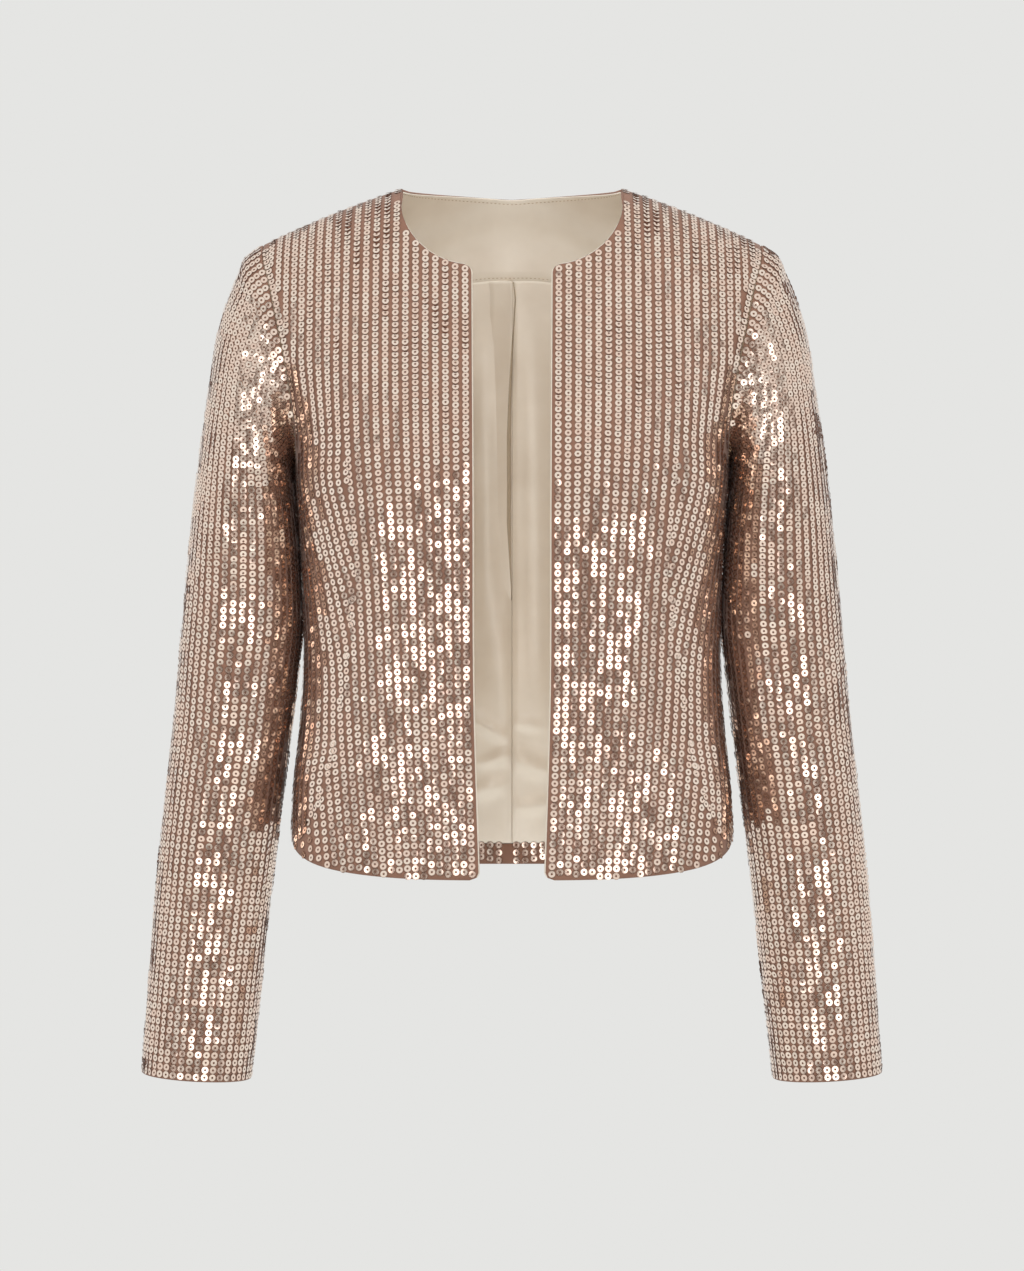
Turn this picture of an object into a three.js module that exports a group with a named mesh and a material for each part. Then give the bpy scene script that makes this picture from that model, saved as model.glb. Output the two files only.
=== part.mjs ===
// A cropped, collarless, open-front jacket of sequin cloth with a satin lining, filled out as if worn.
// Millimetres, +Z up, the front faces -Y, and x is positive to the right as seen from the front.
// The origin is midway between the two shoulder seams, where the wearer's shoulders carry the jacket.
import * as THREE from "three";

// Cloth thicknesses, and the gap that two neighbouring pieces keep.
const CLOTH = 1.8;
const SATIN = 1.0;
const GAP = 0.3;
const LINING_GAP = 0.4; // between the cloth and what lies inside it

// Heights of the body: neck end and arm end of the shoulder seam, underarm point, hem at the centre.
const NECK_Z = 22;
const TIP_Z = -20;
const UNDERARM_Z = -183;
const HEM_Z = -489.5;
const HEM_RISE = 34; // the hem is this much higher at the side seams
const TURN_UP = 16; // depth of the hem turned up inside the back

// The shoulder seam runs from NECK_X to TIP_X, a little crowned, and the cloth rolls over it in a round.
const NECK_X = 82;
const TIP_X = 186;
const SHOULDER_CROWN = 8;
const SHOULDER_ROUND = 60;

// The round neckline: an arc in front that ends at the shoulder, and a level edge at the back.
const NECK_RADIUS = 53;
const NECK_CENTRE_X = 29.7;
const NECK_CENTRE_Z = 12.4;
const NECK_END = THREE.MathUtils.degToRad(10.4); // how far the arc runs on above its centre
const BACK_NECK_Z = 21.5;
const BACK_NECK_LIFT = 1.2; // halfway to the shoulder it stands a little higher
const BACK_NECK_RIDGE = 50; // height at which the two shoulder slopes would meet over the neck

// The armhole is an oval of this half height and half depth.
const ARMHOLE_Z = (TIP_Z + UNDERARM_Z) / 2;
const ARMHOLE_HALF_HEIGHT = (TIP_Z - UNDERARM_Z) / 2;
const ARMHOLE_DEPTH = 52;

// The back neck facing ends at this height at the centre, where the lining starts with its ease pleat.
const FACING_Z = -37.8;
const PLEAT = { low: -286, high: FACING_Z, rise: 2.4, reach: 26 };

// Grid lines of the panels. Row 0 is the hem, row 1 the top of the turned-up hem, and the last the shoulder.
const ROWS = 22;
const UNDERARM_ROW = 12;
const FACING_ROW = 17;
const COLUMNS = 12; // from the front edge, or the centre of the back, to the side
const NECK_COLUMNS = 6; // of those, the columns that end at the neckline
const FACING_COLUMNS = 4; // width of the front facings
const EDGE_MIDDLE_Z = -210; // height at which the front edge meets the underarm's row
const NORMAL_STEP = 0.02; // grid steps to either side that a surface's direction is taken from

// Under the armhole's lower corner the grid lines dip, to stay even. It is most at this share of the width.
const UNDERARM_DIP = { depth: 11, rows: 2.5, share: 0.8 };
const AROUND = 2 * (ROWS - UNDERARM_ROW); // sleeve columns, so that they meet the armhole's rows
const CAP_RINGS = 9;
const SLEEVE_RINGS = 18;

const CLOTHS = {
  sequin: { color: 0xc39a86, roughness: 0.3, metalness: 0.55 },
  satin: { color: 0xd3c3a6, roughness: 0.42, metalness: 0 },
};

// A table of smooth curves: the first column is the height, and every other is read at any height between.
function table(columns, rows) {
  const sorted = [...rows].sort((a, b) => a[0] - b[0]);
  const heights = sorted.map((row) => row[0]);
  const curves = {};
  columns.slice(1).forEach((name, i) => {
    curves[name] = smoothCurve(heights, sorted.map((row) => row[i + 1]));
  });
  return curves;
}

// A cubic curve through the given points, with each point's slope weighted from its two sides.
function smoothCurve(x, y) {
  const last = x.length - 1;
  const slopes = x.slice(1).map((next, i) => (y[i + 1] - y[i]) / (next - x[i]));
  const tangents = x.map((_, i) => {
    if (i === 0) return slopes[0];
    if (i === last) return slopes[last - 1];
    const before = x[i] - x[i - 1];
    const after = x[i + 1] - x[i];
    return (slopes[i - 1] * after + slopes[i] * before) / (before + after);
  });
  return (at) => {
    const here = Math.min(Math.max(at, x[0]), x[last]);
    let i = 0;
    while (i < last - 1 && here > x[i + 1]) i += 1;
    const span = x[i + 1] - x[i];
    const t = (here - x[i]) / span;
    const rise = y[i + 1] - y[i];
    const bend = (tangents[i] * span - rise) * (1 - t) - (tangents[i + 1] * span - rise) * t;
    return y[i] + rise * t + t * (1 - t) * bend;
  };
}

// Sections of the body: half width, depth of the front and of the back, and how square the section is.
const BODY = table(["z", "width", "front", "back", "square"], [
  [22, 161.5, 60, 72, 2.6],
  [-10, 161.5, 63, 80, 2.6],
  [-50, 161.5, 69, 88, 2.7],
  [-110, 161.5, 88, 97, 2.8],
  [-160, 161.5, 103, 98, 2.9],
  [-195, 161.4, 109, 95, 3.0],
  [-228, 159, 110, 91, 2.9],
  [-285, 156.4, 104, 84, 2.6],
  [-340, 155.7, 98, 82, 2.8],
  [-375, 157.5, 97, 85, 3.1],
  [-430, 162.8, 100, 92, 3.6],
  [-489.5, 164.2, 104, 100, 4.0],
]);

// Distance of the front edges from the middle.
const FRONT_EDGE = table(["z", "x"], [
  [-40, 29.8],
  [-210, 28.5],
  [-360, 28],
  [-489.5, 24],
]);

// Distance of the armhole seam from the middle.
const ARMHOLE = table(["z", "x"], [
  [-20, 186],
  [-33, 185],
  [-49, 180.5],
  [-76, 174.5],
  [-108, 168],
  [-140, 163.2],
  [-168, 161.2],
  [-183, 161.5],
]);

// Outline of the sleeve: inner and outer edge seen from the front, half depth, and how far it hangs back.
const SLEEVE = table(["z", "inner", "outer", "depth", "backward"], [
  [-20, 161.9, 186.6, 52, 0],
  [-27, 161.9, 197, 52.5, 0],
  [-43, 161.9, 205, 53.5, 0],
  [-76, 161.9, 217.5, 56, 0],
  [-126, 161.9, 226.5, 57.5, 0],
  [-183, 161.9, 234.5, 57.5, 0],
  [-192, 162.2, 235.6, 57.3, 0],
  [-235, 159.8, 240.5, 56, 1],
  [-270, 157.9, 244, 54.5, 2],
  [-303, 156.9, 247, 53, 1],
  [-340, 160.5, 250, 51, 0],
  [-489, 178.5, 265, 46, -5],
  [-645, 195, 276.2, 41.5, -16],
]);
const CUFF_Z = -638; // at the outer edge of the sleeve
const CAP_END_Z = -275; // the last ring that still leans towards the armhole
const LEAN = { start: 158, end: 5, reach: 325 }; // how much lower a ring is at its inner side

// The largest creases: soft troughs between two points of a panel seen from the front.
const FRONT_CREASES = [
  { from: [150, -258], to: [118, -216], depth: 2.2, width: 13 }, // bust dart
  { from: [113, -286], to: [134, -392], depth: 2.6, width: 16 }, // waist dart
  { from: [134, -392], to: [152, -452], depth: 1.8, width: 14 }, // its run-out towards the hem
];
const SLEEVE_CREASES = [
  { height: -330, angle: 118, depth: 2.4, width: 22 }, // elbow, towards the body
  { height: -385, angle: 60, depth: 1.8, width: 20 },
  { height: -470, angle: 112, depth: 1.6, width: 20 },
];
const CREASE_SPREAD = 0.45; // millimetres along a crease for each degree round the sleeve

// Height of the shoulder line at a distance from the middle. Over the neck it runs on in a smooth rise.
function shoulderHeight(x) {
  if (x >= NECK_X) {
    const t = (x - NECK_X) / (TIP_X - NECK_X);
    return NECK_Z + (TIP_Z - NECK_Z) * t + SHOULDER_CROWN * t * (1 - t);
  }
  const t = (NECK_X - x) / NECK_X;
  const start = ((NECK_Z - TIP_Z - SHOULDER_CROWN) / (TIP_X - NECK_X)) * NECK_X;
  const climb = BACK_NECK_RIDGE - NECK_Z - start;
  const cubic = -start - 2 * climb;
  return NECK_Z + start * t + (climb - cubic) * t * t + cubic * t * t * t;
}

// The share of the body's depth that is left near the shoulder line, where front and back roll together.
function shoulderShare(x, z) {
  const below = Math.max(shoulderHeight(x) - z, 0);
  if (below >= SHOULDER_ROUND) return 1;
  return Math.sqrt(1 - (1 - below / SHOULDER_ROUND) ** 2);
}

// Half width at which a section would close: the side seam, or beyond the armhole so that it meets the oval.
function reach(z, side) {
  if (z <= UNDERARM_Z) return BODY.width(z);
  const height = Math.min(z, TIP_Z - GAP);
  const x = ARMHOLE.x(height);
  const oval = Math.sqrt(1 - ((height - ARMHOLE_Z) / ARMHOLE_HALF_HEIGHT) ** 2);
  const share = (ARMHOLE_DEPTH * oval) / (shoulderShare(x, height) * BODY[side](height));
  const square = BODY.square(height);
  return x / (1 - share ** square) ** (1 / square);
}

// The angle round a section at which its surface stands at distance x from the middle.
function angleAt(x, z, side) {
  const square = BODY.square(z);
  const share = Math.min(Math.max(x, 0) / reach(z, side), 1);
  if (share === 0) return Math.PI / 2;
  return Math.atan((share ** -square - 1) ** (1 / square));
}

// How deep the creases dent the front at a point seen from the front.
function frontDent(x, z) {
  return FRONT_CREASES.reduce((sum, crease) => {
    const along = new THREE.Vector2(crease.to[0] - crease.from[0], crease.to[1] - crease.from[1]);
    const here = new THREE.Vector2(x - crease.from[0], z - crease.from[1]);
    const t = THREE.MathUtils.clamp(here.dot(along) / along.lengthSq(), 0, 1);
    const distance = here.sub(along.multiplyScalar(t)).length();
    return sum + crease.depth * Math.exp(-((distance / crease.width) ** 2));
  }, 0);
}

// A point of the body's outer surface, at an angle round the section and a height.
function bodyPoint(turn, z, side) {
  const angle = THREE.MathUtils.clamp(turn, 0, Math.PI / 2);
  const square = BODY.square(z);
  const round = (Math.cos(angle) ** square + Math.sin(angle) ** square) ** (-1 / square);
  const x = reach(z, side) * round * Math.cos(angle);
  let depth = BODY[side](z) * round * Math.sin(angle) * shoulderShare(x, z);
  if (side === "front") depth -= frontDent(x, z) * Math.sin(angle);
  depth = Math.max(depth, GAP / 2);
  return new THREE.Vector3(x, side === "front" ? -depth : depth, z);
}

const hemHeight = (angle) => HEM_Z + HEM_RISE * Math.cos(angle) ** 4;

// Height of a row, even up to the underarm and then closer and closer towards the top.
function rowHeight(row, hem, middle, top, turn) {
  if (row <= 1) return hem + TURN_UP * row;
  if (row <= UNDERARM_ROW) {
    const t = (row - 1) / (UNDERARM_ROW - 1);
    return THREE.MathUtils.lerp(hem + TURN_UP, middle, t);
  }
  const angle = (turn * (ROWS - row)) / (ROWS - UNDERARM_ROW);
  return top - ((top - middle) * (1 - Math.cos(angle))) / (1 - Math.cos(turn));
}

// The four sides of a panel, each as an angle round the section and a height.
const PANELS = {
  front: {
    centre(row) {
      const z = rowHeight(row, HEM_Z, EDGE_MIDDLE_Z, NECK_CENTRE_Z - NECK_RADIUS, Math.PI / 2);
      return [angleAt(FRONT_EDGE.x(z), z, "front"), z];
    },
    neck(t) {
      const turn = (Math.PI / 2 + NECK_END) * t - Math.PI / 2;
      const x = NECK_CENTRE_X + NECK_RADIUS * Math.cos(turn);
      const z = NECK_CENTRE_Z + NECK_RADIUS * Math.sin(turn);
      return [angleAt(x, z, "front"), z];
    },
  },
  back: {
    centre(row) {
      const share = 1 - Math.cos((Math.PI / 2) * ((ROWS - FACING_ROW) / (ROWS - UNDERARM_ROW)));
      const middle = BACK_NECK_Z - (BACK_NECK_Z - FACING_Z) / share;
      return [Math.PI / 2, rowHeight(row, HEM_Z, middle, BACK_NECK_Z, Math.PI / 2)];
    },
    neck(t) {
      const x = NECK_X * t;
      const z = THREE.MathUtils.lerp(BACK_NECK_Z, NECK_Z, t) + BACK_NECK_LIFT * Math.sin(Math.PI * t);
      return [angleAt(x, z, "back"), z];
    },
  },
};

function sideEdge(row, side) {
  const z = rowHeight(row, hemHeight(0), UNDERARM_Z, TIP_Z, Math.PI);
  return [row <= UNDERARM_ROW ? 0 : angleAt(ARMHOLE.x(z), z, side), z];
}

function topEdge(column, side) {
  if (column <= NECK_COLUMNS) return PANELS[side].neck(column / NECK_COLUMNS);
  const t = (column - NECK_COLUMNS) / (COLUMNS - NECK_COLUMNS);
  const x = THREE.MathUtils.lerp(NECK_X, TIP_X, t);
  const z = shoulderHeight(x);
  return [angleAt(x, z, side), z];
}

function hemEdge(column, side) {
  const start = PANELS[side].centre(0)[0];
  const angle = start * (1 - column / COLUMNS);
  return [angle, hemHeight(angle)];
}

// A point of a panel by column and row, filled in between its four sides.
function panelPoint(column, row, side) {
  const s = THREE.MathUtils.smoothstep(column / COLUMNS, 0, 1); // rows are level at both ends
  const centre = PANELS[side].centre;
  const [low, high] = [centre(0)[1], centre(ROWS)[1]];
  const t = (centre(row)[1] - low) / (high - low);
  const [hem, top] = [hemEdge(column, side), topEdge(column, side)];
  const [inner, outer] = [centre(row), sideEdge(row, side)];
  const corners = [hemEdge(0, side), hemEdge(COLUMNS, side), topEdge(0, side), topEdge(COLUMNS, side)];
  const [angle, z] = [0, 1].map((i) => {
    const upward = (1 - t) * hem[i] + t * top[i];
    const across = (1 - s) * inner[i] + s * outer[i];
    const lowCorners = (1 - t) * ((1 - s) * corners[0][i] + s * corners[1][i]);
    const highCorners = t * ((1 - s) * corners[2][i] + s * corners[3][i]);
    return upward + across - lowCorners - highCorners;
  });
  return bodyPoint(angle, z - UNDERARM_DIP.depth * underarmShare(column, row), side);
}

// How much of the dip under the armhole a grid knot takes: none on the edges, most just inside the underarm.
function underarmShare(column, row) {
  const bump = (s) => s ** 4 * (1 - s);
  const across = bump(column / COLUMNS) / bump(UNDERARM_DIP.share);
  return across * Math.exp(-(((row - UNDERARM_ROW) / UNDERARM_DIP.rows) ** 2));
}

// Outward normal from four neighbouring points of a surface. At a corner of its edge it looks to one side.
function normalOf(surface, u, v, uRange, vRange) {
  const [u1, u2] = [Math.max(u - NORMAL_STEP, uRange[0]), Math.min(u + NORMAL_STEP, uRange[1])];
  const [v1, v2] = [Math.max(v - NORMAL_STEP, vRange[0]), Math.min(v + NORMAL_STEP, vRange[1])];
  const across = surface(u2, v).sub(surface(u1, v));
  const upward = surface(u, v2).sub(surface(u, v1));
  return across.cross(upward).normalize();
}

// The grid of a half panel on the right side: each knot has its outer point and its outward normal.
function panelGrid(side) {
  const surface = (u, v) => panelPoint(u, v, side);
  const grid = [];
  for (let row = 0; row <= ROWS; row += 1) {
    const line = [];
    for (let column = 0; column <= COLUMNS; column += 1) {
      const from = column >= NECK_COLUMNS ? Math.max(NECK_COLUMNS, column - 1) : 0;
      const normal = normalOf(surface, column, row, [from, COLUMNS], [0, ROWS]);
      if (side === "back") normal.negate();
      const onShoulder = row === ROWS && column >= NECK_COLUMNS;
      const onSide = column === COLUMNS && row <= UNDERARM_ROW;
      if (onShoulder || onSide) normal.setY(0).normalize(); // front and back meet squarely at their seams
      line.push({ point: surface(column, row), normal });
    }
    grid.push(line);
  }
  return grid;
}

const mirrored = (knot) => ({
  point: new THREE.Vector3(-knot.point.x, knot.point.y, knot.point.z),
  normal: new THREE.Vector3(-knot.normal.x, knot.normal.y, knot.normal.z),
});

// The whole back, from the left side seam to the right one.
function wholeGrid(half) {
  return half.map((line) => [...line.slice(1).reverse().map(mirrored), ...line]);
}

// Part of a grid, from row to row and column to column.
const patch = (grid, rows, columns) =>
  grid.slice(rows[0], rows[1] + 1).map((line) => line.slice(columns[0], columns[1] + 1));

// Moves the first or last row or column of knots along the surface, so that neighbours keep their gap.
function trimmed(grid, edges) {
  const lines = grid.map((line) => line.map((knot) => ({ point: knot.point.clone(), normal: knot.normal })));
  const pull = (knot, inner) => {
    const way = inner.point.clone().sub(knot.point);
    knot.point.add(way.setLength(GAP / 2));
  };
  const last = lines.length - 1;
  const end = lines[0].length - 1;
  if (edges.includes("low")) lines[0].forEach((knot, i) => pull(knot, grid[1][i]));
  if (edges.includes("high")) lines[last].forEach((knot, i) => pull(knot, grid[last - 1][i]));
  if (edges.includes("left")) lines.forEach((line, i) => pull(line[0], grid[i][1]));
  if (edges.includes("right")) lines.forEach((line, i) => pull(line[end], grid[i][end - 1]));
  return lines;
}

// A closed wall between two depths under a grid of knots. A ring grid closes on itself.
function wall(grid, nearer, deeper, ring = false) {
  const rows = grid.length;
  const columns = grid[0].length;
  const corners = [];
  [nearer, deeper].forEach((depth) => {
    grid.flat().forEach((knot) => {
      const under = typeof depth === "function" ? depth(knot) : depth;
      corners.push(knot.point.clone().addScaledVector(knot.normal, -under));
    });
  });
  const index = (layer, i, j) => layer * rows * columns + i * columns + (j % columns);
  const faces = [];
  const quad = (a, b, c, d) => faces.push(a, b, c, a, c, d);
  const last = ring ? columns : columns - 1;
  for (let i = 0; i < rows - 1; i += 1) {
    for (let j = 0; j < last; j += 1) {
      quad(index(0, i, j), index(0, i, j + 1), index(0, i + 1, j + 1), index(0, i + 1, j));
      quad(index(1, i, j), index(1, i + 1, j), index(1, i + 1, j + 1), index(1, i, j + 1));
    }
  }
  for (let j = 0; j < last; j += 1) {
    quad(index(0, 0, j), index(1, 0, j), index(1, 0, j + 1), index(0, 0, j + 1));
    quad(index(0, rows - 1, j), index(0, rows - 1, j + 1), index(1, rows - 1, j + 1), index(1, rows - 1, j));
  }
  for (let i = 0; i < rows - 1 && !ring; i += 1) {
    quad(index(0, i, 0), index(0, i + 1, 0), index(1, i + 1, 0), index(1, i, 0));
    quad(index(0, i, last), index(1, i, last), index(1, i + 1, last), index(0, i + 1, last));
  }
  return solid(corners, faces);
}

// A mesh's geometry with its faces turned outwards, whichever way its grid ran.
function solid(corners, faces) {
  const volume = faces.reduce((sum, _, i) => {
    if (i % 3) return sum;
    const [a, b, c] = [corners[faces[i]], corners[faces[i + 1]], corners[faces[i + 2]]];
    return sum + a.dot(b.clone().cross(c));
  }, 0);
  const outward = volume > 0 ? faces : [...faces].reverse();
  const geometry = new THREE.BufferGeometry().setFromPoints(corners);
  geometry.setIndex(outward);
  geometry.computeVertexNormals();
  return geometry;
}

// Heights of the outer and the inner end of a sleeve ring, counted from the armhole.
function ringHeights(ring) {
  const cap = Math.min(ring / CAP_RINGS, 1);
  const below = Math.max(ring - CAP_RINGS, 0) / (SLEEVE_RINGS - CAP_RINGS);
  const outer = TIP_Z + (CAP_END_Z - TIP_Z) * cap ** 1.5 + (CUFF_Z - CAP_END_Z) * below;
  const left = Math.max(1 - (TIP_Z - outer) / LEAN.reach, 0);
  return { outer, inner: outer - LEAN.end - LEAN.start * left ** 2 };
}

// How deep the creases dent the sleeve at an angle round it, in degrees from its outer edge.
function sleeveDent(degrees, z) {
  return SLEEVE_CREASES.reduce((sum, crease) => {
    const turn = Math.abs(degrees - crease.angle) % 360;
    const around = Math.min(turn, 360 - turn) * CREASE_SPREAD;
    const distance = Math.hypot(around, z - crease.height);
    return sum + crease.depth * Math.exp(-((distance / crease.width) ** 2));
  }, 0);
}

// A point of the right sleeve's outer surface, by ring and by angle from its outer edge towards the front.
function sleevePoint(ring, angle) {
  const { outer, inner } = ringHeights(ring);
  const share = (1 + Math.cos(angle)) / 2;
  const z = THREE.MathUtils.lerp(inner, outer, share);
  const armholeHeight = THREE.MathUtils.lerp(UNDERARM_Z, TIP_Z, share);
  const straight = THREE.MathUtils.lerp(ARMHOLE.x(UNDERARM_Z), ARMHOLE.x(TIP_Z), share);
  const bow = (ARMHOLE.x(armholeHeight) - straight) * Math.max(1 - ring / CAP_RINGS, 0) ** 2;
  const x = THREE.MathUtils.lerp(SLEEVE.inner(inner), SLEEVE.outer(outer), share) + bow;
  const dent = sleeveDent(THREE.MathUtils.radToDeg(angle), z);
  const depth = SLEEVE.depth(outer) - dent;
  return new THREE.Vector3(x, SLEEVE.backward(outer) - depth * Math.sin(angle), z);
}

function sleeveGrid() {
  const step = (2 * Math.PI) / AROUND;
  const surface = (u, v) => sleevePoint(v, u * step);
  const grid = [];
  for (let ring = 0; ring <= SLEEVE_RINGS; ring += 1) {
    const line = [];
    for (let j = 0; j < AROUND; j += 1) {
      const normal = normalOf(surface, j, ring, [-1, AROUND], [0, SLEEVE_RINGS]);
      line.push({ point: surface(j, ring), normal });
    }
    grid.push(line);
  }
  return grid;
}

// How far the pleat's fold stands off the lining, highest at the middle and gone at its lower end.
function pleatRise(knot) {
  const { x, z } = knot.point;
  const across = THREE.MathUtils.clamp(1 + x / PLEAT.reach, 0, 1);
  const upward = THREE.MathUtils.clamp((z - PLEAT.low) / (PLEAT.high - PLEAT.low), 0, 1);
  return x > GAP ? 0 : PLEAT.rise * across ** 2 * upward;
}

const jacket = new THREE.Group();

function addPiece(name, geometry, cloth) {
  const piece = new THREE.Mesh(geometry, new THREE.MeshStandardMaterial(CLOTHS[cloth]));
  piece.name = name;
  jacket.add(piece);
}

const lined = CLOTH + LINING_GAP; // depth at which a lining starts under the cloth
const frontRight = panelGrid("front");
const back = wholeGrid(panelGrid("back"));
const sleeve = sleeveGrid();
const flipped = (grid) => grid.map((line) => line.map(mirrored));

// Each front is one panel of sequin cloth, with a satin facing inside its edge.
for (const [name, grid] of [["left", flipped(frontRight)], ["right", frontRight]]) {
  addPiece(`front_${name}`, wall(grid, 0, CLOTH), "sequin");
  const strip = patch(grid, [0, ROWS], [0, FACING_COLUMNS]);
  addPiece(`front_facing_${name}`, wall(strip, lined, lined + SATIN), "satin");
}

// The back is one panel of sequin cloth, and its hem is turned up inside.
addPiece("back", wall(back, 0, CLOTH), "sequin");
const turnUp = trimmed(patch(back, [0, 1], [0, 2 * COLUMNS]), ["high"]);
addPiece("back_hem_turn_up", wall(turnUp, lined, lined + SATIN), "sequin");

// The back lining is two satin panels under a neck facing. The left one carries the ease pleat's fold.
const neckFacing = trimmed(patch(back, [FACING_ROW, ROWS], [0, 2 * COLUMNS]), ["low"]);
addPiece("back_neck_facing", wall(neckFacing, lined, lined + SATIN), "satin");
for (const [name, columns, middle] of [
  ["left", [0, COLUMNS], "right"],
  ["right", [COLUMNS, 2 * COLUMNS], "left"],
]) {
  const panel = trimmed(patch(back, [1, FACING_ROW], columns), ["low", "high", middle]);
  const pleated = (knot) => lined + SATIN + (name === "left" ? pleatRise(knot) : 0);
  addPiece(`back_lining_${name}`, wall(panel, lined, pleated), "satin");
}

// Each sleeve is one tube, open at the armhole and at the cuff.
addPiece("sleeve_right", wall(sleeve, 0, CLOTH, true), "sequin");
addPiece("sleeve_left", wall(flipped(sleeve), 0, CLOTH, true), "sequin");

export default jacket;
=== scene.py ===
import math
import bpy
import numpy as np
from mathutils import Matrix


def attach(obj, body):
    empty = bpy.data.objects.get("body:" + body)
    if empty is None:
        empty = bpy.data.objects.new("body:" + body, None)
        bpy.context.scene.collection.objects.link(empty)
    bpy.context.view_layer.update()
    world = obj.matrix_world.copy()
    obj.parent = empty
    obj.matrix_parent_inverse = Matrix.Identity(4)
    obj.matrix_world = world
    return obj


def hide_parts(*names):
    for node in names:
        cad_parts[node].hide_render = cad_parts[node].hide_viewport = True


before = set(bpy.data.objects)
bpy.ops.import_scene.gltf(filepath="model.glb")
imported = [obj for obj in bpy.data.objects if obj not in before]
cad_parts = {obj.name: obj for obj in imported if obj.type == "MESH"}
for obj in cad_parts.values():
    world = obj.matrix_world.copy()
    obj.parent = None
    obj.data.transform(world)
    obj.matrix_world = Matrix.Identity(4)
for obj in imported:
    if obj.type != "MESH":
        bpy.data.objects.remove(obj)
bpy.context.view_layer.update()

# Fronts: two panels of thin woven cloth, cut in a round at the neck and open all the way down. The cloth
# is backed with satin, and a bust dart and a waist dart shape it. Sizes here are millimetres, and the
# meshes are made in metres.
from types import SimpleNamespace

MM = 0.001
CLOTH = 1.8
GAP = 0.3
EDGE_ROUND = 0.5  # how far a cut edge is rolled over

NECK_Z, TIP_Z, UNDERARM_Z = 22, -20, -183
HEM_Z, HEM_RISE, TURN_UP = -489.5, 34, 16
NECK_X, TIP_X = 82, 186
SHOULDER_CROWN, SHOULDER_ROUND = 8, 60
NECK_RADIUS, NECK_CENTRE_X, NECK_CENTRE_Z = 53, 29.7, 12.4
NECK_END = math.radians(10.4)
BACK_NECK_Z, BACK_NECK_LIFT, BACK_NECK_RIDGE = 21.5, 1.2, 50
ARMHOLE_Z = (TIP_Z + UNDERARM_Z) / 2
ARMHOLE_HALF_HEIGHT = (TIP_Z - UNDERARM_Z) / 2
ARMHOLE_DEPTH = 52
CORNER_ROUND = 6  # the front's corners at the neck and at the hem
EDGE_MIDDLE_Z = -210
UNDERARM_DIP = SimpleNamespace(depth=11, rows=2.5, share=0.8)

# The panels' grid lines, as the solid has them, and how many finer steps each takes here.
ROWS, UNDERARM_ROW, FACING_ROW = 22, 12, 17
COLUMNS, NECK_COLUMNS, FACING_COLUMNS = 12, 6, 4
FINER = 3
FACING_Z = -37.8


def smooth_curve(x, y):
    """A cubic curve through the points, with each point's slope weighted from its two sides."""
    x, y = np.asarray(x, float), np.asarray(y, float)
    steps = np.diff(x)
    slopes = np.diff(y) / steps
    inner = (slopes[:-1] * steps[1:] + slopes[1:] * steps[:-1]) / (steps[1:] + steps[:-1])
    tangents = np.concatenate([slopes[:1], inner, slopes[-1:]])

    def read(at):
        here = np.clip(at, x[0], x[-1])
        i = np.clip(np.searchsorted(x, here, side="right") - 1, 0, len(x) - 2)
        t = (here - x[i]) / steps[i]
        rise = y[i + 1] - y[i]
        bend = (tangents[i] * steps[i] - rise) * (1 - t) - (tangents[i + 1] * steps[i] - rise) * t
        return y[i] + rise * t + t * (1 - t) * bend

    return read


def table(columns, rows):
    """Smooth curves of every column over the first one, which is the height."""
    rows = np.array(sorted(rows), float)
    return SimpleNamespace(**{
        name: smooth_curve(rows[:, 0], rows[:, i + 1]) for i, name in enumerate(columns[1:])
    })


BODY = table(("z", "width", "front", "back", "square"), [
    (22, 161.5, 60, 72, 2.6),
    (-10, 161.5, 63, 80, 2.6),
    (-50, 161.5, 69, 88, 2.7),
    (-110, 161.5, 88, 97, 2.8),
    (-160, 161.5, 103, 98, 2.9),
    (-195, 161.4, 109, 95, 3.0),
    (-228, 159, 110, 91, 2.9),
    (-285, 156.4, 104, 84, 2.6),
    (-340, 155.7, 98, 82, 2.8),
    (-375, 157.5, 97, 85, 3.1),
    (-430, 162.8, 100, 92, 3.6),
    (-489.5, 164.2, 104, 100, 4.0),
])
FRONT_EDGE = table(("z", "x"), [(-40, 29.8), (-210, 28.5), (-360, 28), (-489.5, 24)])
ARMHOLE = table(("z", "x"), [
    (-20, 186), (-33, 185), (-49, 180.5), (-76, 174.5),
    (-108, 168), (-140, 163.2), (-168, 161.2), (-183, 161.5),
])
FRONT_CREASES = [  # from, to, depth, width
    ((150, -258), (118, -216), 2.2, 13),
    ((113, -286), (134, -392), 2.6, 16),
    ((134, -392), (152, -452), 1.8, 14),
]


def crease_depth(creases, x, z, fading=0):
    """How deep soft troughs between pairs of points dent a panel seen from the front."""
    here = np.stack(np.broadcast_arrays(x, z), axis=-1)
    total = np.zeros(here.shape[:-1])
    for start, end, depth, width in creases:
        along = np.subtract(end, start)
        t = np.clip((here - start) @ along / (along @ along), 0, 1)
        distance = np.linalg.norm(here - start - t[..., None] * along, axis=-1)
        total += depth * (1 - fading * (2 * t - 1) ** 2) * np.exp(-((distance / width) ** 2))
    return total


def shoulder_height(x):
    t = (x - NECK_X) / (TIP_X - NECK_X)
    seam = NECK_Z + (TIP_Z - NECK_Z) * t + SHOULDER_CROWN * t * (1 - t)
    s = (NECK_X - x) / NECK_X
    start = (NECK_Z - TIP_Z - SHOULDER_CROWN) / (TIP_X - NECK_X) * NECK_X
    climb = BACK_NECK_RIDGE - NECK_Z - start
    cubic = -start - 2 * climb
    return np.where(x >= NECK_X, seam, NECK_Z + start * s + (climb - cubic) * s**2 + cubic * s**3)


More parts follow.
